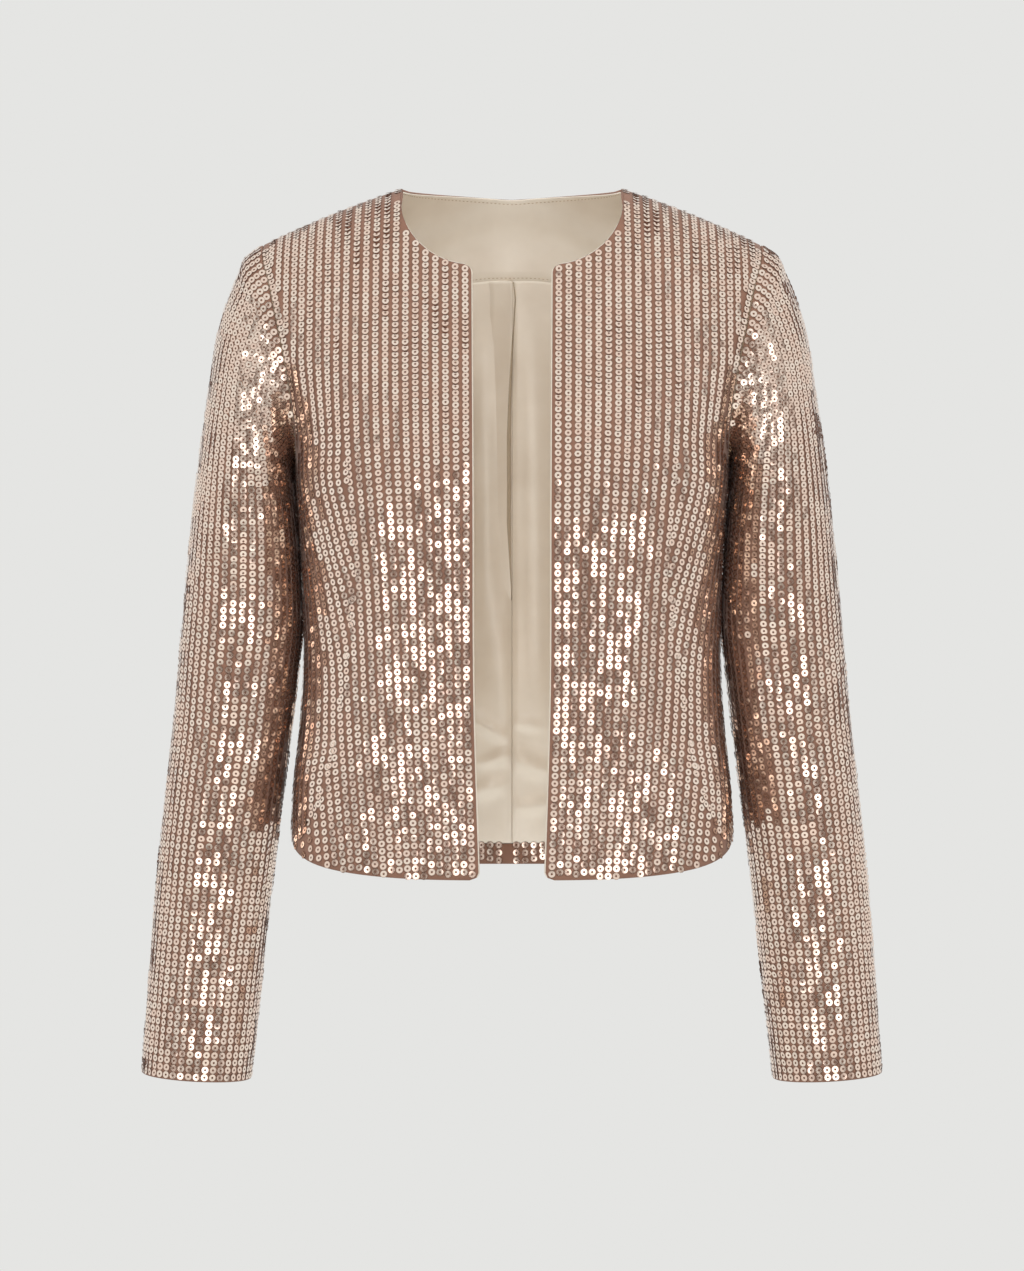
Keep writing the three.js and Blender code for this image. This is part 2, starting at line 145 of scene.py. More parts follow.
def shoulder_share(x, z):
    """What is left of the body's depth near the shoulder line, where front and back roll together."""
    below = np.clip(shoulder_height(x) - z, 0, SHOULDER_ROUND)
    return np.sqrt(1 - (1 - below / SHOULDER_ROUND) ** 2)


def reach(z, side):
    """Half width at which a section closes: at the side seam, or beyond the armhole's oval."""
    height = np.clip(z, UNDERARM_Z, TIP_Z - GAP)
    oval = np.sqrt(np.maximum(1 - ((height - ARMHOLE_Z) / ARMHOLE_HALF_HEIGHT) ** 2, 0))
    x = ARMHOLE.x(height)
    share = ARMHOLE_DEPTH * oval / (shoulder_share(x, height) * getattr(BODY, side)(height))
    square = BODY.square(height)
    return np.where(z <= UNDERARM_Z, BODY.width(z), x / (1 - share**square) ** (1 / square))


def angle_at(x, z, side):
    """The angle round a section at which the cloth stands at a distance from the middle."""
    square = BODY.square(z)
    share = np.clip(np.maximum(x, 1e-6) / reach(z, side), 0, 1)
    return np.arctan((share**-square - 1) ** (1 / square))


def body_point(turn, z, side):
    angle = np.clip(turn, 0, math.pi / 2)
    square = BODY.square(z)
    rounding = (np.cos(angle) ** square + np.sin(angle) ** square) ** (-1 / square)
    x = reach(z, side) * rounding * np.cos(angle)
    depth = getattr(BODY, side)(z) * rounding * np.sin(angle) * shoulder_share(x, z)
    if side == "front":
        depth = depth - crease_depth(FRONT_CREASES, x, z) * np.sin(angle)
    depth = np.maximum(depth, GAP / 2)
    return np.stack([x, -depth if side == "front" else depth, z + 0 * x], axis=-1)


def hem_height(angle):
    return HEM_Z + HEM_RISE * np.cos(angle) ** 4


def row_height(row, hem, middle, top, turn):
    """Height of a grid line: even up to the underarm, then closer and closer towards the top."""
    even = hem + TURN_UP + (middle - hem - TURN_UP) * (row - 1) / (UNDERARM_ROW - 1)
    angle = turn * (ROWS - row) / (ROWS - UNDERARM_ROW)
    upper = top - (top - middle) * (1 - np.cos(angle)) / (1 - math.cos(turn))
    return np.where(row <= 1, hem + TURN_UP * row, np.where(row <= UNDERARM_ROW, even, upper))


def centre_edge(row, side):
    if side == "front":
        z = row_height(row, HEM_Z, EDGE_MIDDLE_Z, NECK_CENTRE_Z - NECK_RADIUS, math.pi / 2)
        return angle_at(FRONT_EDGE.x(z), z, side), z
    share = 1 - math.cos(math.pi / 2 * (ROWS - FACING_ROW) / (ROWS - UNDERARM_ROW))
    middle = BACK_NECK_Z - (BACK_NECK_Z - FACING_Z) / share
    z = row_height(row, HEM_Z, middle, BACK_NECK_Z, math.pi / 2)
    return np.full_like(z, math.pi / 2), z


def top_edge(column, side):
    t = np.clip(column / NECK_COLUMNS, 0, 1)
    if side == "front":
        turn = (math.pi / 2 + NECK_END) * t - math.pi / 2
        neck_x = NECK_CENTRE_X + NECK_RADIUS * np.cos(turn)
        neck_z = NECK_CENTRE_Z + NECK_RADIUS * np.sin(turn)
    else:
        neck_x = NECK_X * t
        neck_z = BACK_NECK_Z + (NECK_Z - BACK_NECK_Z) * t + BACK_NECK_LIFT * np.sin(math.pi * t)
    seam_x = NECK_X + (TIP_X - NECK_X) * (column - NECK_COLUMNS) / (COLUMNS - NECK_COLUMNS)
    on_neck = column <= NECK_COLUMNS
    x = np.where(on_neck, neck_x, seam_x)
    z = np.where(on_neck, neck_z, shoulder_height(seam_x))
    return angle_at(x, z, side), z


def side_edge(row, side):
    z = row_height(row, hem_height(0), UNDERARM_Z, TIP_Z, math.pi)
    return np.where(row <= UNDERARM_ROW, 0, angle_at(ARMHOLE.x(z), z, side)), z


def hem_edge(column, side):
    angle = centre_edge(np.zeros(1), side)[0] * (1 - column / COLUMNS)
    return angle, hem_height(angle)


def rounded_corner(across, up):
    """Moves the points of a square corner onto a round one. Both distances are from the edges."""
    p, q = np.maximum(CORNER_ROUND - across, 0), np.maximum(CORNER_ROUND - up, 0)
    shrink = np.maximum(p, q) / np.maximum(np.hypot(p, q), 1e-9)
    inside = (p > 0) & (q > 0)
    across = np.where(inside, CORNER_ROUND - p * shrink, across)
    return across, np.where(inside, CORNER_ROUND - q * shrink, up)


def panel_point(column, row, side):
    """A point of a half panel, filled in between its four sides."""
    s = (column / COLUMNS) ** 2 * (3 - 2 * column / COLUMNS)
    ends = np.array([0.0, ROWS])
    low, high = centre_edge(ends, side)[1]
    inner, outer = centre_edge(row, side), side_edge(row, side)
    hem, top = hem_edge(column, side), top_edge(column, side)
    t = (inner[1] - low) / (high - low)
    corners = [
        [edge(np.array([float(end)]), side) for end in (0, COLUMNS)] for edge in (hem_edge, top_edge)
    ]
    angle, z = (
        (1 - t) * hem[i] + t * top[i] + (1 - s) * inner[i] + s * outer[i]
        - (1 - t) * ((1 - s) * corners[0][0][i] + s * corners[0][1][i])
        - t * ((1 - s) * corners[1][0][i] + s * corners[1][1][i])
        for i in range(2)
    )
    bump = (column / COLUMNS) ** 4 * (1 - column / COLUMNS)
    most = UNDERARM_DIP.share**4 * (1 - UNDERARM_DIP.share)
    z = z - UNDERARM_DIP.depth * bump / most * np.exp(-(((row - UNDERARM_ROW) / UNDERARM_DIP.rows) ** 2))
    if side == "front":
        x = body_point(angle, z, side)[..., 0]
        neck_low = NECK_CENTRE_Z - np.sqrt(np.maximum(NECK_RADIUS**2 - (x - NECK_CENTRE_X) ** 2, 0))
        across, down = rounded_corner(x - FRONT_EDGE.x(z), neck_low - z)
        across, up = rounded_corner(across, z - hem_height(angle))
        near_hem = z < EDGE_MIDDLE_Z
        moved = (column < NECK_COLUMNS) & ((row > FACING_ROW) | (row < 2))
        z = np.where(moved, np.where(near_hem, hem_height(angle) + up, neck_low - down), z)
        angle = np.where(moved, angle_at(FRONT_EDGE.x(z) + across, z, side), angle)
    return body_point(angle, z, side)


def unit(vectors):
    return vectors / np.maximum(np.linalg.norm(vectors, axis=-1, keepdims=True), 1e-9)


def half_panel(side):
    """A half panel's points on the right side of the body, and the directions that face away from it."""
    column, row = np.meshgrid(
        np.linspace(0, COLUMNS, COLUMNS * FINER + 1), np.linspace(0, ROWS, ROWS * FINER + 1)
    )
    points = panel_point(column, row, side)
    away = np.cross(np.gradient(points, axis=1), np.gradient(points, axis=0))
    if side == "back":
        away = -away
    away[-1, NECK_COLUMNS * FINER:, 1] = 0  # front and back meet squarely at their seams
    away[: UNDERARM_ROW * FINER + 1, -1, 1] = 0
    return points, unit(away)


def mirrored(points, away):
    return points * (-1, 1, 1), away * (-1, 1, 1)


def placed(name, data):
    """A new object in the scene, at the origin."""
    piece = bpy.data.objects.new(name, data)
    bpy.context.scene.collection.objects.link(piece)
    return piece


def closed_piece(name, corners, faces):
    """An object of one closed mesh of quads, with its faces turned outwards."""
    a, b, c, d = (corners[faces[:, i]] for i in range(4))
    volume = np.sum(a * np.cross(b, c)) + np.sum(a * np.cross(c, d))
    if volume < 0:
        faces = faces[:, ::-1]
    mesh = bpy.data.meshes.new(name)
    mesh.from_pydata((corners * MM).tolist(), [], faces.tolist())
    mesh.shade_smooth()
    return placed(name, mesh)


def arc_lengths(points, axis):
    steps = np.linalg.norm(np.diff(points, axis=axis), axis=-1)
    return np.insert(np.cumsum(steps, axis=axis), 0, 0, axis=axis)


def cloth_piece(name, points, away, near, far, ring=False):
    """A closed wall of cloth between two depths under a grid of points, with its cut edges rolled over.
    Its UV map is the cloth laid flat, in metres."""
    rows, columns = points.shape[:2]
    face = points.copy()
    for edge, inner in ((0, 1), (-1, -2)):
        face[edge] += unit(points[inner] - points[edge]) * EDGE_ROUND
        if not ring:
            face[:, edge] += unit(points[:, inner] - points[:, edge]) * EDGE_ROUND
    far = np.broadcast_to(far, (rows, columns))[..., None]
    index = np.arange(rows * columns).reshape(rows, columns)
    if ring:
        index = np.concatenate([index, index[:, :1]], axis=1)
        borders = [index[0], index[-1, ::-1]]
    else:
        borders = [np.concatenate([index[0, :-1], index[:-1, -1], index[-1, :0:-1], index[::-1, 0]])]
    flat_points, flat_away, flat_far = points.reshape(-1, 3), away.reshape(-1, 3), far.reshape(-1, 1)
    corners = [(face - away * near).reshape(-1, 3), (face - away * far).reshape(-1, 3)]
    flat = np.stack([arc_lengths(points, 1), arc_lengths(points, 0)], axis=-1).reshape(-1, 2) * MM
    places = [flat, flat]
    quads = np.stack([index[:-1, :-1], index[:-1, 1:], index[1:, 1:], index[1:, :-1]], axis=-1)
    quads = quads.reshape(-1, 4)
    count = rows * columns
    faces = [quads, quads[:, ::-1] + count]
    start = 2 * count
    for border in borders:
        lip = border[:-1]
        corners.append(flat_points[lip] - flat_away[lip] * (near + flat_far[lip]) / 2)
        places.append(flat[lip])
        fold = start + np.arange(len(lip))
        following, ahead = border[1:], np.roll(fold, -1)
        faces.append(np.stack([following, lip, fold, ahead], axis=-1))
        faces.append(np.stack([ahead, fold, lip + count, following + count], axis=-1))
        start += len(lip)
    piece = closed_piece(name, np.concatenate(corners), np.concatenate(faces))
    spots = np.concatenate(places)
    loops = np.zeros(len(piece.data.loops), int)
    piece.data.loops.foreach_get("vertex_index", loops)
    piece.data.uv_layers.new(name="cloth").data.foreach_set("uv", spots[loops].ravel())
    inside = np.zeros(len(piece.data.polygons), int)
    inside[len(quads):2 * len(quads)] = 1
    piece.data.polygons.foreach_set("material_index", inside)
    return piece


def add_node(tree, kind, inputs, **settings):
    """A node with its settings, and with each input set to a value or joined to another node's output."""
    node = tree.nodes.new(kind)
    for name, value in settings.items():
        setattr(node, name, value)
    for name, value in inputs.items():
        if isinstance(value, bpy.types.NodeSocket):
            tree.links.new(value, node.inputs[name])
        else:
            node.inputs[name].default_value = value
    return node


def weave_group():
    """Over-and-under threads of a woven cloth, read from its flat map: a height and a slow unevenness."""
    group = bpy.data.node_groups.new("woven threads", "ShaderNodeTree")
    for label in ("Threads per metre", "Unevenness per metre"):
        group.interface.new_socket(label, in_out="INPUT", socket_type="NodeSocketFloat")
    for label in ("Height", "Unevenness"):
        group.interface.new_socket(label, in_out="OUTPUT", socket_type="NodeSocketFloat")
    given = group.nodes.new("NodeGroupInput").outputs
    flat = add_node(group, "ShaderNodeUVMap", {}, uv_map="cloth")
    scaled = add_node(
        group, "ShaderNodeVectorMath", {0: flat.outputs["UV"], "Scale": given["Threads per metre"]},
        operation="SCALE",
    )
    threads = add_node(group, "ShaderNodeTexChecker", {"Vector": scaled.outputs["Vector"], "Scale": 1.0})
    place = add_node(group, "ShaderNodeTexCoord", {})
    uneven = add_node(group, "ShaderNodeTexNoise", {
        "Vector": place.outputs["Object"], "Scale": given["Unevenness per metre"], "Detail": 3.0,
    })
    add_node(group, "NodeGroupOutput", {
        "Height": threads.outputs["Fac"], "Unevenness": uneven.outputs["Fac"],
    })
    return group


WEAVE = weave_group()


THREAD_HEIGHT = 0.2 * MM  # of the threads' relief


def finish(name, surface):
    """A material, and its shader with the given values."""
    material = bpy.data.materials.new(name)
    material.use_nodes = True
    shader = material.node_tree.nodes["Principled BSDF"]
    for label, value in surface.items():
        shader.inputs[label].default_value = value
    return material, shader


def cloth_material(name, dark, light, surface, threads, relief, unevenness=60.0):
    """Cloth whose colour runs softly between a dark and a light one, with its threads in relief."""
    material, shader = finish(name, surface)
    tree = material.node_tree
    weave = add_node(tree, "ShaderNodeGroup", {}, node_tree=WEAVE)
    weave.inputs["Threads per metre"].default_value = threads
    weave.inputs["Unevenness per metre"].default_value = unevenness
    colour = add_node(
        tree, "ShaderNodeMix", {"A": (*dark, 1), "B": (*light, 1), "Factor": weave.outputs["Unevenness"]},
        data_type="RGBA",
    )
    bump = add_node(tree, "ShaderNodeBump", {
        "Strength": relief, "Distance": THREAD_HEIGHT, "Height": weave.outputs["Height"],
    })
    tree.links.new(colour.outputs["Result"], shader.inputs["Base Color"])
    tree.links.new(bump.outputs["Normal"], shader.inputs["Normal"])
    return material


GROUND_CLOTH = cloth_material(
    "rose brown woven ground", (0.19, 0.092, 0.058), (0.29, 0.146, 0.096),
    {"Roughness": 0.75, "Sheen Weight": 0.15}, threads=1500, relief=0.5,
)
SATIN = cloth_material(
    "oyster satin", (0.78, 0.68, 0.56), (0.97, 0.89, 0.78),
    {"Roughness": 0.33, "Sheen Weight": 0.2, "Metallic": 0.35}, threads=2600, relief=0.08, unevenness=28,
)


def carried(piece, slot, *materials):
    """Gives a finished piece its materials; its slot is not used. The whole jacket is one body."""
    for material in materials:
        piece.data.materials.append(material)
    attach(piece, "root")


def put_on(piece, node, slot, *materials):
    """Gives a finished piece its outer and inner cloth, and lets it stand for its node."""
    carried(piece, slot, *materials)
    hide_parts(node)


right_front = half_panel("front")
fronts = {"right": right_front, "left": mirrored(*right_front)}
for hand, (points, away) in fronts.items():
    piece = cloth_piece(f"front_cloth_{hand}", points, away, 0, CLOTH)
    put_on(piece, f"front_{hand}", "sequin_cloth", GROUND_CLOTH, SATIN)

# Back: one wide panel of the same cloth from side seam to side seam, with a level neck edge. It meets the
# fronts in the shoulder seams and the side seams, and dips a little lower than they do at its middle.
half_back, half_back_away = half_panel("back")
other_half, other_away = mirrored(half_back, half_back_away)
back_points = np.concatenate([other_half[:, :0:-1], half_back], axis=1)
back_away = np.concatenate([other_away[:, :0:-1], half_back_away], axis=1)
back_cloth = cloth_piece("back_cloth", back_points, back_away, 0, CLOTH)
put_on(back_cloth, "back", "sequin_cloth", GROUND_CLOTH, SATIN)

# Sleeves: each is one long tube of the cloth, set into the armhole with a high rounded cap and tapering
# a little to an open cuff. Soft folds cross it at the elbow.
SLEEVE = table(("z", "inner", "outer", "depth", "backward"), [
    (-20, 161.9, 186.6, 52, 0),
    (-27, 161.9, 197, 52.5, 0),
    (-43, 161.9, 205, 53.5, 0),
    (-76, 161.9, 217.5, 56, 0),
    (-126, 161.9, 226.5, 57.5, 0),
    (-183, 161.9, 234.5, 57.5, 0),
    (-192, 162.2, 235.6, 57.3, 0),
    (-235, 159.8, 240.5, 56, 1),
    (-270, 157.9, 244, 54.5, 2),
    (-303, 156.9, 247, 53, 1),
    (-340, 160.5, 250, 51, 0),
    (-489, 178.5, 265, 46, -5),
    (-645, 195, 276.2, 41.5, -16),
])
CAP_RINGS, SLEEVE_RINGS = 9, 18
SLEEVE_COLUMNS = 2 * (ROWS - UNDERARM_ROW)
CUFF_Z, CAP_END_Z = -638, -275
LEAN = SimpleNamespace(start=158, end=5, reach=325)  # how much lower a ring lies at its inner edge
SLEEVE_CREASES = [  # height, angle, depth, width
    (-330, 118, 2.4, 22),
    (-385, 60, 1.8, 20),
    (-470, 112, 1.6, 20),
]
CREASE_SPREAD = 0.45  # millimetres of width that a degree round the sleeve counts for


def ring_heights(ring):
    cap = np.clip(ring / CAP_RINGS, 0, 1)
    below = np.maximum(ring - CAP_RINGS, 0) / (SLEEVE_RINGS - CAP_RINGS)
    outer = TIP_Z + (CAP_END_Z - TIP_Z) * cap**1.5 + (CUFF_Z - CAP_END_Z) * below
    left = np.maximum(1 - (TIP_Z - outer) / LEAN.reach, 0)
    return outer, outer - LEAN.end - LEAN.start * left**2


def sleeve_point(ring, angle):
    """A point of the right sleeve, by ring and by angle from its outer edge towards the front."""
    outer, inner = ring_heights(ring)
    share = (1 + np.cos(angle)) / 2
    z = inner + (outer - inner) * share
    seam = ARMHOLE.x(UNDERARM_Z + (TIP_Z - UNDERARM_Z) * share)
    straight = ARMHOLE.x(UNDERARM_Z) + (ARMHOLE.x(TIP_Z) - ARMHOLE.x(UNDERARM_Z)) * share
    bow = (seam - straight) * np.maximum(1 - ring / CAP_RINGS, 0) ** 2
    x = SLEEVE.inner(inner) + (SLEEVE.outer(outer) - SLEEVE.inner(inner)) * share + bow
    dent = 0
    for height, turn, depth, width in SLEEVE_CREASES:
        apart = np.abs(np.degrees(angle) - turn) % 360
        around = np.minimum(apart, 360 - apart) * CREASE_SPREAD
        dent = dent + depth * np.exp(-(np.hypot(around, z - height) / width) ** 2)
    return np.stack([x, SLEEVE.backward(outer) - (SLEEVE.depth(outer) - dent) * np.sin(angle), z], axis=-1)


def surface_away(surface, u, v, step=0.01):
    """The direction that a surface faces at each place."""
    across = surface(u, v + step) - surface(u, v - step)
    along = surface(u + step, v) - surface(u - step, v)
    return unit(np.cross(across, along))


ring, turn = np.meshgrid(
    np.linspace(0, SLEEVE_RINGS, SLEEVE_RINGS * FINER + 1),
    np.arange(SLEEVE_COLUMNS * FINER) * 2 * math.pi / (SLEEVE_COLUMNS * FINER),
    indexing="ij",
)
right_sleeve = sleeve_point(ring, turn), surface_away(sleeve_point, ring, turn)
sleeves = {"right": right_sleeve, "left": mirrored(*right_sleeve)}
for hand, (points, away) in sleeves.items():
    piece = cloth_piece(f"sleeve_cloth_{hand}", points, away, 0, CLOTH, ring=True)
    put_on(piece, f"sleeve_{hand}", "sequin_cloth", GROUND_CLOTH, SATIN)

# Facings: satin strips behind the front edges and a deep satin facing round the back neck. Their edges
# peep out past the cloth as a thin light line.
LINED = CLOTH + 0.4  # depth at which the satin starts
SATIN_CLOTH = 1.0
PEEP = 0.9
NECK_LAP, NECK_PEEP = 0.5, 1.5 * PEEP  # of the neck facing, over the lining and past the cloth


def span(grid, rows, columns):
    """Part of a panel's points or directions, between two grid rows and two grid columns."""
    (low, high), (first, last) = rows, columns
    return grid[low * FINER:high * FINER + 1, first * FINER:last * FINER + 1].copy()


def let_out(points, edge, amount):
    """Moves one edge of a grid along the surface: outwards, or inwards where the amount is negative."""
    lines = points.swapaxes(0, 1) if edge == "left" else points
    rim, inner = (-1, -2) if edge == "high" else (0, 1)
    lines[rim] += unit(lines[rim] - lines[inner]) * amount
    return points


for hand, (points, away) in fronts.items():
    strip = span(points, (0, ROWS), (0, FACING_COLUMNS))
    strip = let_out(let_out(strip, "left", PEEP), "high", PEEP)
    strip_away = span(away, (0, ROWS), (0, FACING_COLUMNS))
    piece = cloth_piece(f"front_satin_{hand}", strip, strip_away, LINED, LINED + SATIN_CLOTH)
    put_on(piece, f"front_facing_{hand}", "satin", SATIN, SATIN)

WIDE = (0, 2 * COLUMNS)
neck_strip = let_out(span(back_points, (FACING_ROW, ROWS), WIDE), "low", NECK_LAP)
neck_strip = let_out(neck_strip, "high", NECK_PEEP)
neck_facing = cloth_piece(
    "neck_satin", neck_strip, span(back_away, (FACING_ROW, ROWS), WIDE), LINED, LINED + SATIN_CLOTH
)
put_on(neck_facing, "back_neck_facing", "satin", SATIN, SATIN)

# Back lining: two satin panels joined in a plain seam down the middle. The upper part of the left one is
# folded over into an ease pleat that runs out below the waist, and the satin ripples above the hem.
PLEAT = SimpleNamespace(low=-286, high=FACING_Z, rise=2.4, reach=26)
LINING_RIPPLES = [  # from, to, height, width
    ((-40, -368), (1, -397), 3.8, 4.6),
    ((-26, -414), (4, -399), 3.6, 3.8),
    ((-5, -376), (22, -384), 2.4, 3.8),
    ((-2, -404), (34, -422), 3.6, 5.5),
    ((-38, -438), (-6, -424), 3.0, 5.5),
    ((0, -448), (30, -440), 2.6, 6.0),
    ((-24, -60), (-17, -390), 3.0, 8),
    ((16, -50), (20, -400), 3.0, 9),
    ((-10, -270), (-7, -400), 2.2, 5),
]
LINING_FINER = 3  # further rows between those of the back's grid, for the ripples


def finer_rows(grid):
    """A grid with further rows set evenly between its own."""
    at = np.linspace(0, len(grid) - 1, (len(grid) - 1) * LINING_FINER + 1)
    low = np.minimum(at.astype(int), len(grid) - 2)
    t = (at - low)[:, None, None]
    return grid[low] * (1 - t) + grid[low + 1] * t


def pleat_rise(points):
    x, z = points[..., 0], points[..., 2]
    across = np.clip(1 + x / PLEAT.reach, 0, 1)
    upward = np.clip((z - PLEAT.low) / (PLEAT.high - PLEAT.low), 0, 1)
    return np.where(x > GAP, 0, PLEAT.rise * across**2 * upward)


for hand, columns in (("left", (0, COLUMNS)), ("right", (COLUMNS, 2 * COLUMNS))):
    panel = finer_rows(span(back_points, (1, FACING_ROW), columns))
    for edge in ("low", "high"):
        panel = let_out(panel, edge, -GAP / 2)
    thickness = SATIN_CLOTH + crease_depth(LINING_RIPPLES, panel[..., 0], panel[..., 2], fading=1)
    if hand == "left":
        thickness = thickness + pleat_rise(panel)
    panel_away = unit(finer_rows(span(back_away, (1, FACING_ROW), columns)))
    piece = cloth_piece(f"lining_satin_{hand}", panel, panel_away, LINED, LINED + thickness)
    put_on(piece, f"back_lining_{hand}", "satin", SATIN, SATIN)

PLEAT_EDGE = smooth_curve([PLEAT.low, -190, -107, -47], [-0.3, -3.1, -2.3, 0.8])
# turned is the greatest width of the strip along the fold's edge whose darker satin is painted shade, for
# the shadow under the fold.
PLEAT_FOLD = SimpleNamespace(
    width=20, height=2.4, overhang=2.6, roll=0.14, lift=0.2, top=1.5,  # roll is a share of the width
    turned=3.4, rows=89, columns=16, painted_shade_columns=5,
)
# The strip of the fold's rolled edge that is painted in shade widens from the pleat's lower end and narrows
# towards its top, each over a length and down to a share. So does the height at which the edge stands off.
STRIP = SimpleNamespace(widens=60, least=0.05, narrows=120, top=0.3)
STAND = SimpleNamespace(rises=90, falls=20, top=0.25)


def pleat_fold():
    """The fold's free edge, which stands off the lining above the waist and rolls under; a strip along the
    roll is painted in shade.
    """
    z = np.linspace(PLEAT.low, PLEAT.high - PLEAT_FOLD.top, PLEAT_FOLD.rows + 1)[:, None]
    up, down = z - PLEAT.low, PLEAT.high - z
    opening = np.clip(up / STRIP.widens, STRIP.least, 1) * np.clip(down / STRIP.narrows, STRIP.top, 1)
    turn = 1 - PLEAT_FOLD.turned * opening / PLEAT_FOLD.width
    share = np.concatenate([
        turn * np.sqrt(np.linspace(0, 1, PLEAT_FOLD.columns + 1)),
        turn + (1 - turn) * np.linspace(0, 1, PLEAT_FOLD.painted_shade_columns + 1)[1:],
    ], axis=1)
    open_by = np.clip(up / STAND.rises, 0, 1) * np.clip(down / STAND.falls + STAND.top, 0, 1)
    x = PLEAT_EDGE(z) + PLEAT_FOLD.overhang * open_by - PLEAT_FOLD.width * (1 - share)
    depth = np.interp(z[:, 0], half_back[:, 0, 2], half_back[:, 0, 1])[:, None]
    base = depth - (LINED + SATIN_CLOTH + pleat_rise(np.stack([x, 0 * x, z + 0 * x], axis=-1)))
    past_roll = np.maximum(share - (1 - PLEAT_FOLD.roll), 0) / PLEAT_FOLD.roll
    rolled = np.sqrt(np.maximum(1 - past_roll**2, 0))
    y = base - PLEAT_FOLD.lift - PLEAT_FOLD.height * open_by * share**2 * rolled
    points = np.stack([x, y, z + 0 * x], axis=-1)
    away = unit(np.cross(np.gradient(points, axis=1), np.gradient(points, axis=0)))
    return points, away * np.where(away[..., 1:2] < 0, 1, -1)


FOLD_CLOTH = 0.5
fold = cloth_piece("pleat_fold_satin", *pleat_fold(), 0, FOLD_CLOTH)
# The faces of the strip along the fold's edge take a darker satin: painted shade, for the shadow under the
# overhanging fold.
painted_shade_faces = np.zeros(len(fold.data.polygons), int)
across = PLEAT_FOLD.columns + PLEAT_FOLD.painted_shade_columns
quad = np.arange(2 * PLEAT_FOLD.rows * across)
painted_shade_faces[quad[quad % across >= PLEAT_FOLD.columns]] = 1
fold.data.polygons.foreach_set("material_index", painted_shade_faces)
# The second material is the darker satin of that painted shade.
carried(fold, "satin", SATIN, cloth_material(
    "oyster satin in painted fold shade", (0.36, 0.28, 0.19), (0.46, 0.37, 0.27),
    {"Roughness": 0.5, "Sheen Weight": 0.1}, threads=2600, relief=0.08,
))

# Turned-up hem: the back's own sequin cloth, folded up inside along the hem. It shows between the fronts
# as a narrow band below the lining.
turn_up_points = let_out(span(back_points, (0, 1), WIDE), "high", -GAP / 2)
turn_up_away = span(back_away, (0, 1), WIDE)
turn_up = cloth_piece("turned_up_hem", turn_up_points, turn_up_away, LINED, LINED + SATIN_CLOTH)
put_on(turn_up, "back_hem_turn_up", "sequin_cloth", GROUND_CLOTH, GROUND_CLOTH)

# Sequins: small cupped metal-bright discs with a hole, sewn on in upright rows so that neighbours in a
# row touch. Between the front edge and the waist dart the rows follow the edge, and beyond the dart they
# lean into it.
CLOSE_PITCH, WIDE_PITCH = 4.6, 5.4  # from one sequin to the next in a row, above and below the bust
SEQUIN_RADIUS = 2.8
SEQUIN_HOLE = 0.85  # its radius
SEQUIN_RISE = 0.03  # how far the cupped rim stands above the hole
STAND_OFF = 0.55  # height of a sequin's hole above the cloth
SHINGLE = 0.07  # each sequin lies on the next, and so leans along its row
MARGIN, HEM_MARGIN = 2.3, 1.8  # from a cut edge or a seam to a sequin's middle
SEAM_ROW, SEAM_CLEAR = 2.7, 2.0  # the row that follows the armhole seam, and what it keeps free
STEP = 1.5  # fineness of the lines that the sequins are set along

ROW_START = 4.6  # from the front edge to the first row
ROW_SPACING = smooth_curve([-489.5, -400, -286, -165, 22], [5.8, 6.1, 6.45, 7.2, 7.2])
DART_ROW = 12.3  # the waist dart runs this many rows from the front edge, down to the waist
DART_LINE = smooth_curve([-489.5, -464, -435, -386.7, -330, -286], [164, 155.4, 140.3, 128.7, 119.5, 115.3])
WAIST_Z, BUST_Z, CHEST_Z = -286, -165, -110
SIDE_START, SIDE_SPACING, SIDE_ROWS = -9.5, 7.2, 30  # of the rows beyond the dart, along the cloth
# How far those rows lean into the dart.
SLANT = smooth_curve([-489.5, -400, -286, -200, -165, 22], [46, 32, 14, 3, 0, 0])
SHOULDER_SPACING, TIP_ROWS, TIP_NUMBER = 6.0, 4, 60  # of the rows between the armhole and the neck
SKIRT_ROWS, SKIRT_LAP = 11, 2  # rows that end at the dart line, below the waist, and how far past it
WALK_STEPS, ROLL_STEPS, ROLL_END = 60, 40, 0.03


def row_x(number, z):
    """Distance from the middle of a row that follows the front edge."""
    return FRONT_EDGE.x(z) + ROW_START + number * ROW_SPACING(z)


def dart_x(z):
    return np.where(z > WAIST_Z, row_x(DART_ROW, z), DART_LINE(z))


def walk(start_x, z, side):
    """Angles round each section from a distance from the middle to the side, and how far each is."""
    start = angle_at(start_x, z, side)
    angles = start[:, None] * (1 - np.linspace(0, 1, WALK_STEPS)[None, :])
    return angles, arc_lengths(body_point(angles, np.repeat(z[:, None], WALK_STEPS, axis=1), side), 1)


NOWHERE = -1.0  # stands for an angle where a row doesn't reach


def angle_beyond(start_x, length, z, side):
    """The angle round each section at a length along the cloth from a distance from the middle."""
    angles, walked = walk(start_x, z, side)
    found = [np.interp(want, far, turns) for want, far, turns in zip(length, walked, angles)]
    return np.where(length <= walked[:, -1], found, NOWHERE)


def heights(top):
    """Heights of a row's points, closer and closer towards the shoulder, where the cloth rolls over."""
    roll = SHOULDER_ROUND * np.linspace(1, ROLL_END, ROLL_STEPS) ** 2
    return np.concatenate([np.arange(HEM_Z, top - SHOULDER_ROUND, STEP), top - roll])


STARTS = np.random.default_rng(7)
LEAST = 2  # a stretch of a row needs more points than this


